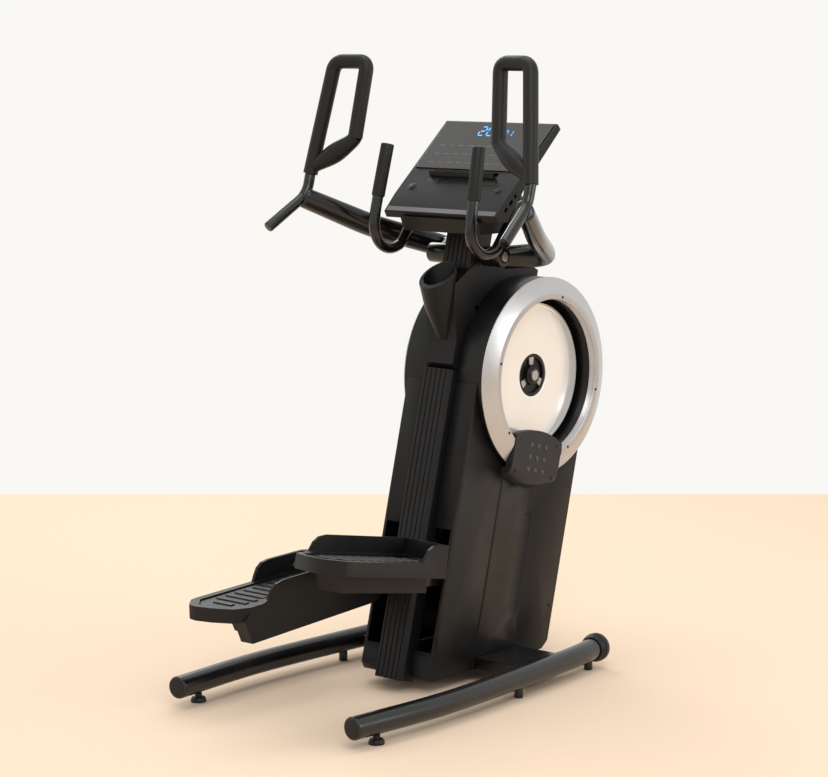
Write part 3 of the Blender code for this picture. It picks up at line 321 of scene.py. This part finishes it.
def turned(profile, steps, axis="X"):
    """Turns a closed (along, radius) profile about an axis."""
    work = bmesh.new()
    rings = []
    for i in range(steps):
        angle = 2 * math.pi * i / steps
        ring = []
        for along, radius in profile:
            a, b = radius * math.cos(angle), radius * math.sin(angle)
            ring.append(work.verts.new({"X": (along, a, b), "Z": (a, b, along)}[axis]))
        rings.append(ring)
    count = len(profile)
    for i in range(steps):
        here, there = rings[i], rings[(i + 1) % steps]
        for j in range(count):
            k = (j + 1) % count
            corners = []
            for vert in (here[j], here[k], there[k], there[j]):
                if all((vert.co - other.co).length > 1e-9 for other in corners):
                    corners.append(vert)
            if len(corners) >= 3:
                work.faces.new(corners)
    bmesh.ops.remove_doubles(work, verts=work.verts, dist=1e-7)
    bmesh.ops.recalc_face_normals(work, faces=work.faces)
    return work


def rounded(profile, radius, steps=3):
    """A closed (along, radius) outline with its corners rounded, except those on the axis."""
    pts = [Vector((a, b)) for a, b in profile]
    out = []
    for i, corner in enumerate(pts):
        before, after = pts[i - 1], pts[(i + 1) % len(pts)]
        if corner.y < 1e-6:
            out.append(tuple(corner))
            continue
        into, away = before - corner, after - corner
        reach = min(radius, 0.45 * into.length, 0.45 * away.length)
        start, end = corner + into.normalized() * reach, corner + away.normalized() * reach
        for k in range(steps + 1):
            t = k / steps
            out.append(tuple(start.lerp(corner, t).lerp(corner.lerp(end, t), t)))
    return out


def smooth_path(points, per_span):
    """Points on a Catmull-Rom curve through the given points."""
    pts = [Vector(p) for p in points]
    ends = [2 * pts[0] - pts[1]] + pts + [2 * pts[-1] - pts[-2]]
    out = []
    for i in range(1, len(ends) - 2):
        a, b, c, d = ends[i - 1:i + 3]
        for k in range(per_span):
            t = k / per_span
            out.append(0.5 * (2 * b + (c - a) * t + (2 * a - 5 * b + 4 * c - d) * t * t
                              + (3 * b - a - 3 * c + d) * t ** 3))
    out.append(pts[-1])
    return out


def bent_path(points, radius, steps=10):
    """A polyline with its inner corners rounded; also returns each point's place from 0 to 1."""
    pts = [Vector(p) for p in points]
    out = [pts[0]]
    for before, corner, after in zip(pts, pts[1:], pts[2:]):
        into, away = (before - corner).normalized(), (after - corner).normalized()
        reach = min(radius, 0.45 * (before - corner).length, 0.45 * (after - corner).length)
        start, end = corner + into * reach, corner + away * reach
        for k in range(steps + 1):
            t = k / steps
            out.append(start.lerp(corner, t).lerp(corner.lerp(end, t), t))
    out.append(pts[-1])
    return out


def tube(path, radius, sides=36, flatten=1.0, grow=None, dome=0.0):
    """Sweeps a circle or oval along a path with rounded closed ends; grow(t) scales the section."""
    pts = [Vector(p) for p in path]
    lengths = [0.0]
    for a, b in zip(pts, pts[1:]):
        lengths.append(lengths[-1] + (b - a).length)
    total = lengths[-1]
    rows = []
    for i, point in enumerate(pts):
        ahead = (pts[min(i + 1, len(pts) - 1)] - pts[max(i - 1, 0)]).normalized()
        rows.append([point, ahead, grow(lengths[i] / total) if grow else 1.0])
    if dome > 0.0:
        steps = 5
        for end, sign in ((0, 1), (-1, -1)):
            point, ahead, scale = rows[end]
            rows[end] = [point + ahead * sign * dome, ahead, scale]
            caps = []
            for k in range(1, steps + 1):
                turn = math.pi / 2 * k / steps
                caps.append([point + ahead * sign * dome * (1 - math.sin(turn)), ahead,
                             scale * (1.0 - dome / radius * (1 - math.cos(turn)))])
            rows = list(reversed(caps)) + rows if end == 0 else rows + caps
    work = bmesh.new()
    rings = []
    side = None
    for point, ahead, scale in rows:
        if side is None:
            side = ahead.cross(Vector((0, 0, 1)))
            if side.length < 1e-3:
                side = Vector((1, 0, 0))
        side = (side - ahead * side.dot(ahead)).normalized()
        other = side.cross(ahead).normalized()
        ring = []
        for k in range(sides):
            angle = 2 * math.pi * k / sides
            offset = side * (math.cos(angle) * radius * scale * flatten)
            offset = offset + other * (math.sin(angle) * radius * scale)
            ring.append(work.verts.new(point + offset))
        rings.append(ring)
    for here, there in zip(rings, rings[1:]):
        for k in range(sides):
            j = (k + 1) % sides
            work.faces.new((here[k], here[j], there[j], there[k]))
    work.faces.new(rings[0])
    work.faces.new(rings[-1])
    bmesh.ops.recalc_face_normals(work, faces=work.faces)
    return work


def merge(target, extra):
    """Adds a second bmesh to the first."""
    mesh = bpy.data.meshes.new("part")
    extra.to_mesh(mesh)
    extra.free()
    target.from_mesh(mesh)
    bpy.data.meshes.remove(mesh)


def arc(centre, radius, start, end, steps):
    """Points on an arc, from one angle to another in degrees."""
    out = []
    for i in range(steps + 1):
        angle = math.radians(start + (end - start) * i / steps)
        out.append((centre[0] + radius * math.cos(angle), centre[1] + radius * math.sin(angle)))
    return out


def span(side, low, high):
    """A span along X on the right side, or its mirror on the left."""
    return (low, high) if side > 0 else (-high, -low)


def lathe(side, profile, steps):
    """Turns a profile about X on the right side, or its mirror on the left."""
    return turned([(side * a, r) for a, r in profile], steps)


def screw_heads(name, spots, face, side, body, place, radius=0.0042):
    """Domed black screw heads with a socket, on a face that looks along X."""
    for index, (s, t) in enumerate(spots):
        head = turned(rounded(((0, 0), (0, radius), (0.0014, radius), (0.0020, radius * 0.6),
                               (0.0020, radius * 0.42), (0.0010, radius * 0.38), (0.0010, 0)), 0.0003), 24)
        turn = Matrix.Rotation(math.pi, 4, "Z") if side < 0 else Matrix.Identity(4)
        at = place @ Matrix.Translation((side * face, s, t)) @ turn
        piece(f"{name}_{index}", head, SCREW_BLACK, body, place=at)


# ---------------------------------------------------------------- base
def make_base():
    """Bowed floor tubes, their roller caps, pads and levelling feet."""
    for name, side in SIDES:
        route = smooth_path([(side * x, y, RAIL_Z) for x, y in RAIL_PATH], 14)
        back = (route[0] - route[1]).normalized()
        route = [route[0] + back * RAIL_REAR_END] + route
        work = tube(route, RAIL_R, 48, dome=0.005)
        pad_top = RAIL_Z - RAIL_R + 0.006
        for x, y in FLOOR_PADS:
            pad = turned(rounded(((0.0, 0.0), (0.0, FLOOR_PAD_R), (pad_top, FLOOR_PAD_R), (pad_top, 0)),
                                 0.0015), 28, "Z")
            pad.transform(Matrix.Translation((side * x, y, 0)))
            merge(work, pad)
        piece(f"{name}_rail_skin", work, LOOK["black_paint"], "frame",
              (f"{name}_base_rail",))
        plug_r = RAIL_R * 0.80
        plug = turned(rounded(((0.0, 0.0), (0.0, plug_r), (-0.0012, plug_r), (-0.0012, 0.0)), 0.0005), 40)
        plug.transform(Matrix.Translation(route[0] - back * 0.0002)
                       @ Vector((-1, 0, 0)).rotation_difference(back).to_matrix().to_4x4())
        piece(f"{name}_rail_end_plug", plug, LOOK["grip_rubber"], "frame")
        ahead = (route[-1] - route[-2]).normalized()
        outline = ((0.0008, 0.0), (0.0008, RAIL_R + 0.0006), (-0.016, RAIL_R + 0.0006), (-0.016, 0.0350),
                   (-0.0015, 0.0412), (0.0005, 0.0404), (0.0012, 0.0378), (0.0040, 0.0378),
                   (0.0048, 0.0412), (0.0080, 0.0423), (0.0220, 0.0416), (0.0290, 0.0372),
                   (0.0335, 0.0290), (0.0357, 0.0150), (0.0360, 0.0))
        cap = turned(rounded(outline, 0.0016, 3), 64)
        turn = Vector((1, 0, 0)).rotation_difference(ahead).to_matrix().to_4x4()
        cap.transform(Matrix.Translation(route[-1]) @ turn)
        piece(f"{name}_front_cap_skin", cap, LOOK["grip_rubber"], "frame",
              (f"{name}_rail_front_cap",))
        top = RAIL_Z - RAIL_R - 0.0012
        profile = rounded(((0.0, 0.0), (0.0, 0.0215), (0.004, 0.0225), (0.014, 0.0185), (0.0155, 0.0100),
                           (top, 0.0100), (top, 0.0)), 0.0012)
        piece(f"{name}_foot_skin", turned(profile, 40, "Z"), LOOK["grip_rubber"], "frame",
              (f"{name}_levelling_foot",), Matrix.Translation((side * FOOT.x, FOOT.y, 0)))
    refined("base_frame", 0.003)


# ---------------------------------------------------------------- column
def scoop(side):
    """A long shallow recess with sloping sides for the side of the casing."""
    outline = arc((RECESS_S, RECESS_T + RECESS_HALF), RECESS_R, 0, 180, 24)
    outline += arc((RECESS_S, RECESS_T - RECESS_HALF), RECESS_R, 180, 360, 24)
    work = prism(outline, side * RECESS_BOTTOM, side * CASING_X)
    for vert in work.verts:
        if abs(vert.co.x) < RECESS_BOTTOM + 0.001:
            vert.co.y = RECESS_S + 0.72 * (vert.co.y - RECESS_S)
            vert.co.z = RECESS_T + 0.94 * (vert.co.z - RECESS_T)
    return work


def make_column():
    """Casing skins with rounded edges, a recess and screws on each side, and the covers round them."""
    for name, side in SIDES:
        shell = refined(f"{name}_side_casing", 0.0035, 30)
        cut(shell, scoop(side), COLUMN)
        screw_heads(f"{name}_casing_screw", CASING_SCREWS, CASING_SCREW_X, side, "frame", COLUMN)
    refined("rear_shroud", 0.0016)
    refined("front_shroud", 0.0015, 40)
    refined("upper_housing", 0.0030, 40)
    refined("neck_cover", 0.0014)
    refined("console_bracket_cover", 0.0060)


def make_drums():
    """Round covers, bright rings, discs with their hubs, and the bump pads."""
    wall, throat_x = 0.003, 0.0850
    lip, outside = RING_IN_R + 0.0034, DRUM_R - 0.001
    inside_x, inside = DRUM_X - wall, outside - wall
    for name, side in SIDES:
        profile = ((DRUM_IN_X, outside), (DRUM_X, outside), (DRUM_X, lip), (throat_x, lip),
                   (throat_x, lip + wall), (inside_x, lip + wall), (inside_x, inside),
                   (DRUM_IN_X, inside))
        piece(f"{name}_drum_skin", lathe(side, rounded(profile, 0.002), 128), LOOK["drum_plastic"], "frame",
              (f"{name}_drum_cover",), COLUMN)
        profile = ((RING_BASE, DRUM_R), (RING_BASE + 0.003, DRUM_R), (RING_X, RING_LIP_R),
                   (RING_X, RING_IN_R), (RING_BASE, RING_IN_R - 0.001))
        ring = piece(f"{name}_ring_skin", lathe(side, rounded(profile, 0.0022, 4), 160),
                     LOOK["ring_silver"], "frame", (f"{name}_ring",), COLUMN)
        pad_room = block(span(side, 0.12, 0.19), (-0.116, 0.116), (-0.400, -0.150))
        cut(ring, pad_room, COLUMN)
        spots = []
        for degrees in RING_SCREW_ANGLES:
            angle = math.radians(degrees)
            spots.append((RING_SCREW_R * math.cos(angle), RING_SCREW_R * math.sin(angle)))
        screw_heads(f"{name}_ring_screw", spots, RING_X - SCREW_SINK, side, "frame", COLUMN)
        make_disc(name, side)
        make_bump_pad(name, side)


def make_disc(name, side):
    """Bright disc with a rolled rim, black hub with bright spokes, and a round cap."""
    at = Matrix.Translation((0, DISC.y, DISC.z))
    low, flat_x, bore = DISC_X - 0.015, DISC_X - 0.0006, HUB_R + 0.0004
    profile = ((low, bore), (DISC_X - 0.0012, bore), (flat_x, HUB_R + 0.004),
               (flat_x, DISC_R - 0.010), (DISC_X, DISC_R - 0.007), (DISC_X, DISC_R), (low, DISC_R))
    piece(f"{name}_disc_skin", lathe(side, rounded(profile, 0.0012), 160), LOOK["disc_chrome"], "crank",
          (f"{name}_disc",), at)
    inner, face, rim_r = 0.0905, 0.1000, 0.0530
    boss_x, bore, boss_r = 0.1085, 0.0155, 0.0300
    floor_x = 0.0925
    rim = rounded(((inner, rim_r), (face, rim_r), (face, HUB_R), (inner, HUB_R)), 0.0012)
    hub = lathe(side, rim, 96)
    boss = ((inner, bore), (boss_x, bore), (boss_x, 0.0250), (0.1050, boss_r), (inner, boss_r))
    merge(hub, lathe(side, rounded(boss, 0.0012), 64))
    merge(hub, lathe(side, ((inner, 0.0200), (floor_x, 0.0200), (floor_x, rim_r + 0.001),
                            (inner, rim_r + 0.001)), 64))
    for degrees in SPOKE_ANGLES:
        web = prism(((0.0250, -0.0105), (0.0560, -0.0150), (0.0560, 0.0150), (0.0250, 0.0105)),
                    *span(side, inner, 0.0968))
        web.transform(Matrix.Rotation(math.radians(degrees), 4, "X"))
        merge(hub, web)
    piece(f"{name}_hub_skin", hub, LOOK["drum_plastic"], "crank", (f"{name}_disc_hub",), at,
          bevel=0.0008)
    for k, degrees in enumerate(SPOKE_ANGLES):
        trim = prism(((0.0300, -0.0075), (0.0545, -0.0120), (0.0545, 0.0120), (0.0300, 0.0075)),
                     *span(side, 0.0966, 0.0984))
        trim.transform(Matrix.Rotation(math.radians(degrees), 4, "X"))
        piece(f"{name}_spoke_{k}", trim, SPOKE_BRIGHT, "crank", place=at, bevel=0.0006)
    cap = ((0.1080, 0.0), (0.1080, 0.0205), (0.1105, 0.0205), (0.1120, 0.0160), (0.1124, 0.0))
    piece(f"{name}_hub_cap", lathe(side, rounded(cap, 0.0010), 48), LOOK["gloss_black"], "crank",
          place=at)


def sheet(top, bottom, rows, side):
    """A closed shell between two edges; each row is (place from top to bottom, front x, back x)."""
    work = bmesh.new()
    front, behind = [], []
    for place, front_x, back_x in rows:
        line = [Vector(a).lerp(Vector(b), place) for a, b in zip(top, bottom)]
        front.append([work.verts.new((side * front_x, *point)) for point in line])
        behind.append([work.verts.new((side * back_x, *point)) for point in line])
    across, down = len(top), len(rows)
    for grid in (front, behind):
        for i in range(down - 1):
            for j in range(across - 1):
                work.faces.new((grid[i][j], grid[i][j + 1], grid[i + 1][j + 1], grid[i + 1][j]))
    for i in range(down - 1):
        for j in (0, across - 1):
            work.faces.new((front[i][j], front[i + 1][j], behind[i + 1][j], behind[i][j]))
    for i in (0, down - 1):
        for j in range(across - 1):
            work.faces.new((front[i][j], front[i][j + 1], behind[i][j + 1], behind[i][j]))
    bmesh.ops.recalc_face_normals(work, faces=work.faces)
    return work


def make_bump_pad(name, side):
    """Bump pad: a shield whose lower lip curves back to the casing, with nine domes and four screws."""
    face = RING_X + 0.002
    top = arc((0, -0.445), 0.285, 113.2, 66.8, 24)
    bottom = arc((0, -0.020), 0.307, -68.6, -111.4, 24)
    bottom.reverse()
    back = DRUM_X + 0.0004
    rows = ((0.0, face, back), (0.4, face, back), (0.72, face, back), (0.79, face - 0.0016, back),
            (0.80, face - 0.0020, CASING_X), (0.88, face - 0.0070, CASING_X),
            (0.95, face - 0.0170, CASING_X), (1.0, CASING_X + 0.0016, CASING_X))
    piece(f"{name}_bump_skin", sheet(top, bottom, rows, side), LOOK["pad_grey"], "frame",
          (f"{name}_bump_pad",), COLUMN, bevel=0.0025)
    for row in range(3):
        for column in range(3):
            spot = Matrix.Translation((0, DOME_PITCH_S * (column - 1), DOME_TOP_T - DOME_PITCH_T * row))
            dome = ((face - 0.001, 0.0), (face - 0.001, 0.0072), (face + 0.0012, 0.0066),
                    (face + 0.0026, 0.0044), (face + 0.0032, 0.0))
            piece(f"{name}_dome_{row}{column}", lathe(side, rounded(dome, 0.001), 24), STUD_GREY,
                  "frame", place=COLUMN @ spot)
    screw_heads(f"{name}_pad_screw", PAD_SCREWS, face - SCREW_SINK, side, "frame", COLUMN, PAD_SCREW_R)


# ---------------------------------------------------------------- pedals
def make_pedals():
    """Moulded pedals with soft edges, and rubber pads with rounded ribs."""
    for name, side in SIDES:
        refined(f"{name}_pedal_tray", 0.0050, 24)
        refined(f"{name}_pedal_arm", 0.0022)
        refined(f"{name}_lower_link", 0.0012, 40)
        refined(f"{name}_upper_link", 0.0012, 40)
        place = Matrix.Translation((0, *PIN[name])) @ Matrix.Rotation(PEDAL_TILT[name], 4, "X")
        low, high, rear, front = 0.0910, 0.2410, TRAY_REAR[name] + 0.0235, -0.2370
        plan = ((side * low, rear + 0.036), (side * (low + 0.050), rear + 0.006),
                (side * (high - 0.036), rear), (side * high, rear + 0.040), (side * high, front),
                (side * low, front + 0.040))
        piece(f"{name}_pad_skin", prism(plan, 0.0454, 0.0496, "Z"), LOOK["grip_rubber"], f"{name}_pedal",
              (f"{name}_foot_pad",), place, bevel=0.0012)
        for k in range(RIB_COUNT):
            y = TRAY_REAR[name] + 0.0675 + RIB_PITCH * k
            left, right = (0.110, 0.222) if 0 < k < RIB_COUNT - 1 else (0.130, 0.200)
            bar = prism(((side * left, y), (side * right, y), (side * right, y + RIB_WIDE),
                         (side * left, y + RIB_WIDE)), 0.0480, 0.0535, "Z")
            piece(f"{name}_pad_rib_{k}", bar, LOOK["grip_rubber"], f"{name}_pedal",
                  place=place, bevel=0.0028)


# ---------------------------------------------------------------- console
def digit(shape, at, size, work):
    """Adds one seven-segment digit to a bmesh on the console's face."""
    wide, tall, bar = size, size * 1.8, size * 0.16
    marks = {"a": (0, tall, 1), "g": (0, tall / 2, 1), "d": (0, 0, 1), "f": (0, tall / 2, 0),
             "b": (wide, tall / 2, 0), "e": (0, 0, 0), "c": (wide, 0, 0)}
    for key in shape:
        x, y, level = marks[key]
        if level:
            spot = ((at[0] + x + bar, at[0] + x + wide - bar), (at[1] + y - bar / 2, at[1] + y + bar / 2))
        else:
            spot = ((at[0] + x - bar / 2, at[0] + x + bar / 2), (at[1] + y + bar, at[1] + y + tall / 2 - bar))
        merge(work, block(spot[0], spot[1], (CONSOLE_FACE_Z, 0.0093)))


def make_console():
    """Console skins, lit digits, faint key marks, a painted highlight strip along the lower bevel, buttons,
    ledge and grille.
    """
    refined("console_housing", 0.0030)
    refined("console_face", 0.0012)
    refined("tablet_ledge", 0.0014)
    refined("fan_grille", 0.0005)
    lit = bmesh.new()
    groups = ((("abged", "abcdef"), -0.050, 0.030, DIGIT_BIG), (("abcdef", "bc"), 0.040, 0.019, DIGIT_SMALL))
    for shapes, start, pitch, size in groups:
        for k, shape in enumerate(shapes):
            digit(shape, (start + pitch * k, DIGIT_Y), size, lit)
    piece("display_digits", lit, DIGITS, "frame", place=CONSOLE)
    # a light grey strip along the console's lower bevel edge: a painted highlight, not a part
    highlight_strip = prism(((0.0035, 0.0005), (0.0190, 0.0019), (0.0190, 0.0025), (0.0035, 0.0011)), -0.198, 0.198)
    piece("console_bevel_highlight", highlight_strip, MARKING_AND_HIGHLIGHT, "frame", place=CONSOLE)
    marks = bmesh.new()
    for row, y in enumerate(KEY_ROWS):
        for k in range(KEYS_IN_ROW - row):
            x = KEY_START + KEY_PITCH * k
            merge(marks, block((x, x + 0.020), (y, y + 0.0016), (CONSOLE_FACE_Z, 0.0092)))
    piece("key_marks", marks, MARKING_AND_HIGHLIGHT, "frame", place=CONSOLE)
    for name, side in SIDES:
        cap = turned(rounded(((-0.0040, 0.0), (-0.0040, 0.0088), (0.0080, 0.0088), (0.0090, 0.0070),
                              (0.0090, 0.0)), 0.0008), 40, "Z")
        at = CONSOLE @ Matrix.Translation((side * BUTTON_X, BUTTON_Y, 0.0))
        piece(f"{name}_button_skin", cap, LOOK["grip_rubber"], f"{name}_console_button",
              (f"{name}_console_button",), at)
        well = turned(rounded(((0.0058, 0.0096), (0.0072, 0.0096), (0.0068, 0.0140), (0.0058, 0.0145)),
                              0.0004), 48, "Z")
        piece(f"{name}_button_bezel", well, LOOK["drum_plastic"], "frame", place=at)


# ---------------------------------------------------------------- handles
def mirrored(points, side):
    """Points of the right side, or their mirrors on the left."""
    return [(side * x, y, z) for x, y, z in points]


def make_handles():
    """Fixed grips with sleeves, swinging arms with hubs, and the rubber loops."""
    refined("arm_axle", 0.0010, 60)
    for name, side in SIDES:
        route = [(0.1666, 0.0678, 1.5330), (0.1750, 0.0347, 1.3865)]
        route += [(0.1760, y, z) for y, z in arc((0.0930, 1.3080), 0.0730, 167.3, 317.6, 5)]
        route += [(0.1760, 0.2280, 1.3620), (0.1720, 0.2420, 1.3760), (0.1620, 0.2500, 1.3840),
                  (0.1520, 0.2520, 1.3860), (0.1424, 0.2520, 1.3860)]
        route = mirrored(route, side)
        top, low = Vector(route[0]), Vector(route[1])
        along = (low - top).normalized()
        piece(f"{name}_grip_tube", tube(smooth_path(route, 6), GRIP_R, 32), LOOK["gloss_black"], "frame",
              (f"{name}_fixed_grip",))
        spine = [top + along * step for step in (-0.003, 0.04, 0.150)]
        sleeve = tube(spine, SLEEVE_R, 40, dome=0.004)
        piece(f"{name}_sleeve_skin", sleeve, LOOK["grip_rubber"], "frame",
              (f"{name}_grip_sleeve",))
        make_arm(name, side)
        make_loop(name, side)


def make_arm(name, side):
    """Swinging arm: round hub, bent oval leg, handle tube with its rear stub."""
    hub = rounded(((0.0620, 0.0134), (0.1335, 0.0134), (0.1335, 0.0290), (0.0625, 0.0290)), 0.003)
    work = lathe(side, hub, 56)
    work.transform(Matrix.Translation(AXLE))
    leg = bent_path(mirrored(((0.1060, 0.2560, 1.2130), (0.1820, 0.3650, 1.2180), (0.3000, 0.1550, 1.2880),
                              (0.4045, -0.0320, 1.3790)), side), 0.055, 12)
    merge(work, tube(leg, ARM_R, 40, 0.78, lambda t: 0.90 + 0.14 * math.sin(math.pi * (0.15 + 0.8 * t)),
                     dome=0.010))
    handle = bent_path(mirrored(((0.4300, -0.1530, 1.2960), (0.4020, -0.0170, 1.3880),
                                 (0.4020, 0.0034, 1.4633)), side), 0.030, 8)
    merge(work, tube(handle, GRIP_R, 32, dome=0.004))
    piece(f"{name}_arm_skin", work, LOOK["gloss_black"], f"{name}_arm",
          (f"{name}_arm",))


def make_loop(name, side):
    """Rubber loop grip with a wide web to its collar."""
    collar, corner = (0.4020, -0.0019, 1.4445), (0.3550, 0.0560, 1.7680)
    top_in, low_in = (0.2420, 0.0680, 1.7680), (0.2620, 0.0360, 1.5500)
    work = tube(bent_path(mirrored((collar, corner, top_in, low_in), side), 0.030, 10), LOOP_R, 36)
    web = mirrored(((0.2612, 0.0368, 1.5560), (0.2760, 0.0330, 1.5390), (0.3400, 0.0150, 1.4960),
                    (0.3980, 0.0010, 1.4620)), side)
    merge(work, tube(smooth_path(web, 8), LOOP_R, 36, 1.0,
                     lambda t: 0.99 + 0.40 * math.sin(math.pi * min(1.0, t * 1.02)) ** 2 - 0.12 * t))
    piece(f"{name}_loop_skin", work, LOOK["grip_rubber"], f"{name}_arm",
          (f"{name}_loop_grip",))


def dress_the_rest():
    """Gives every CAD node still showing its slot's procedural finish."""
    for name, made in frame["nodes"].items():
        if not made.hide_render:
            made.data.materials.clear()
            made.data.materials.append(LOOK[SLOT_OF[name]])


# ---------------------------------------------------------------- stage
def floor_finish():
    """A plain pale matte floor."""
    made = bpy.data.materials.new("floor_pale")
    made.use_nodes = True
    shader = made.node_tree.nodes["Principled BSDF"]
    shader.inputs["Base Color"].default_value = (0.80, 0.635, 0.485, 1.0)
    shader.inputs["Roughness"].default_value = 0.85
    shader.inputs["Specular IOR Level"].default_value = 0.1
    return made


def make_stage():
    """Pale floor, a plain bright sky, soft lamps and the camera."""
    floor = block((-FLOOR_REACH, FLOOR_REACH), (-FLOOR_REACH, FLOOR_END), (-0.010, -0.0004))
    floor.transform(Matrix.Rotation(VIEW_AZIMUTH, 4, "Z"))
    mesh = bpy.data.meshes.new("floor")
    floor.to_mesh(mesh)
    floor.free()
    mesh.materials.append(floor_finish())
    made = bpy.data.objects.new("floor", mesh)
    bpy.context.scene.collection.objects.link(made)
    world = bpy.data.worlds.new("studio")
    world.use_nodes = True
    world.node_tree.nodes["Background"].inputs["Color"].default_value = (1.0, 0.985, 0.955, 1.0)
    world.node_tree.nodes["Background"].inputs["Strength"].default_value = 0.95
    bpy.context.scene.world = world
    bpy.context.scene.view_settings.view_transform = "Standard"
    lamps = (("key", (3.2, -2.6, 4.2), 2.2, 60), ("rim", (-3.4, 2.2, 3.6), 2.0, 55),
             ("side", (4.5, 1.8, 2.0), 1.6, 30), ("top", (0.0, 0.2, 4.6), 2.6, 40))
    for name, at, size, power in lamps:
        data = bpy.data.lights.new(name, "AREA")
        data.size = size
        data.energy = power
        lamp = bpy.data.objects.new(name, data)
        lamp.location = at
        lamp.rotation_euler = (Vector((0, 0, 0.9)) - Vector(at)).to_track_quat("-Z", "Y").to_euler()
        bpy.context.scene.collection.objects.link(lamp)
    make_camera()


def make_camera():
    """A camera at the object's three-quarter view."""
    data = bpy.data.cameras.new("camera")
    data.lens = CAMERA_LENS
    data.sensor_width = CAMERA_SENSOR
    camera = bpy.data.objects.new("camera", data)
    camera.location = CAMERA_AT
    level = math.cos(VIEW_ELEVATION)
    look = Vector((-math.sin(VIEW_AZIMUTH) * level, math.cos(VIEW_AZIMUTH) * level,
                   -math.sin(VIEW_ELEVATION)))
    camera.rotation_euler = look.to_track_quat("-Z", "Y").to_euler()
    bpy.context.scene.collection.objects.link(camera)
    bpy.context.scene.camera = camera


make_base()
make_column()
make_drums()
make_pedals()
make_console()
make_handles()
dress_the_rest()
make_stage()
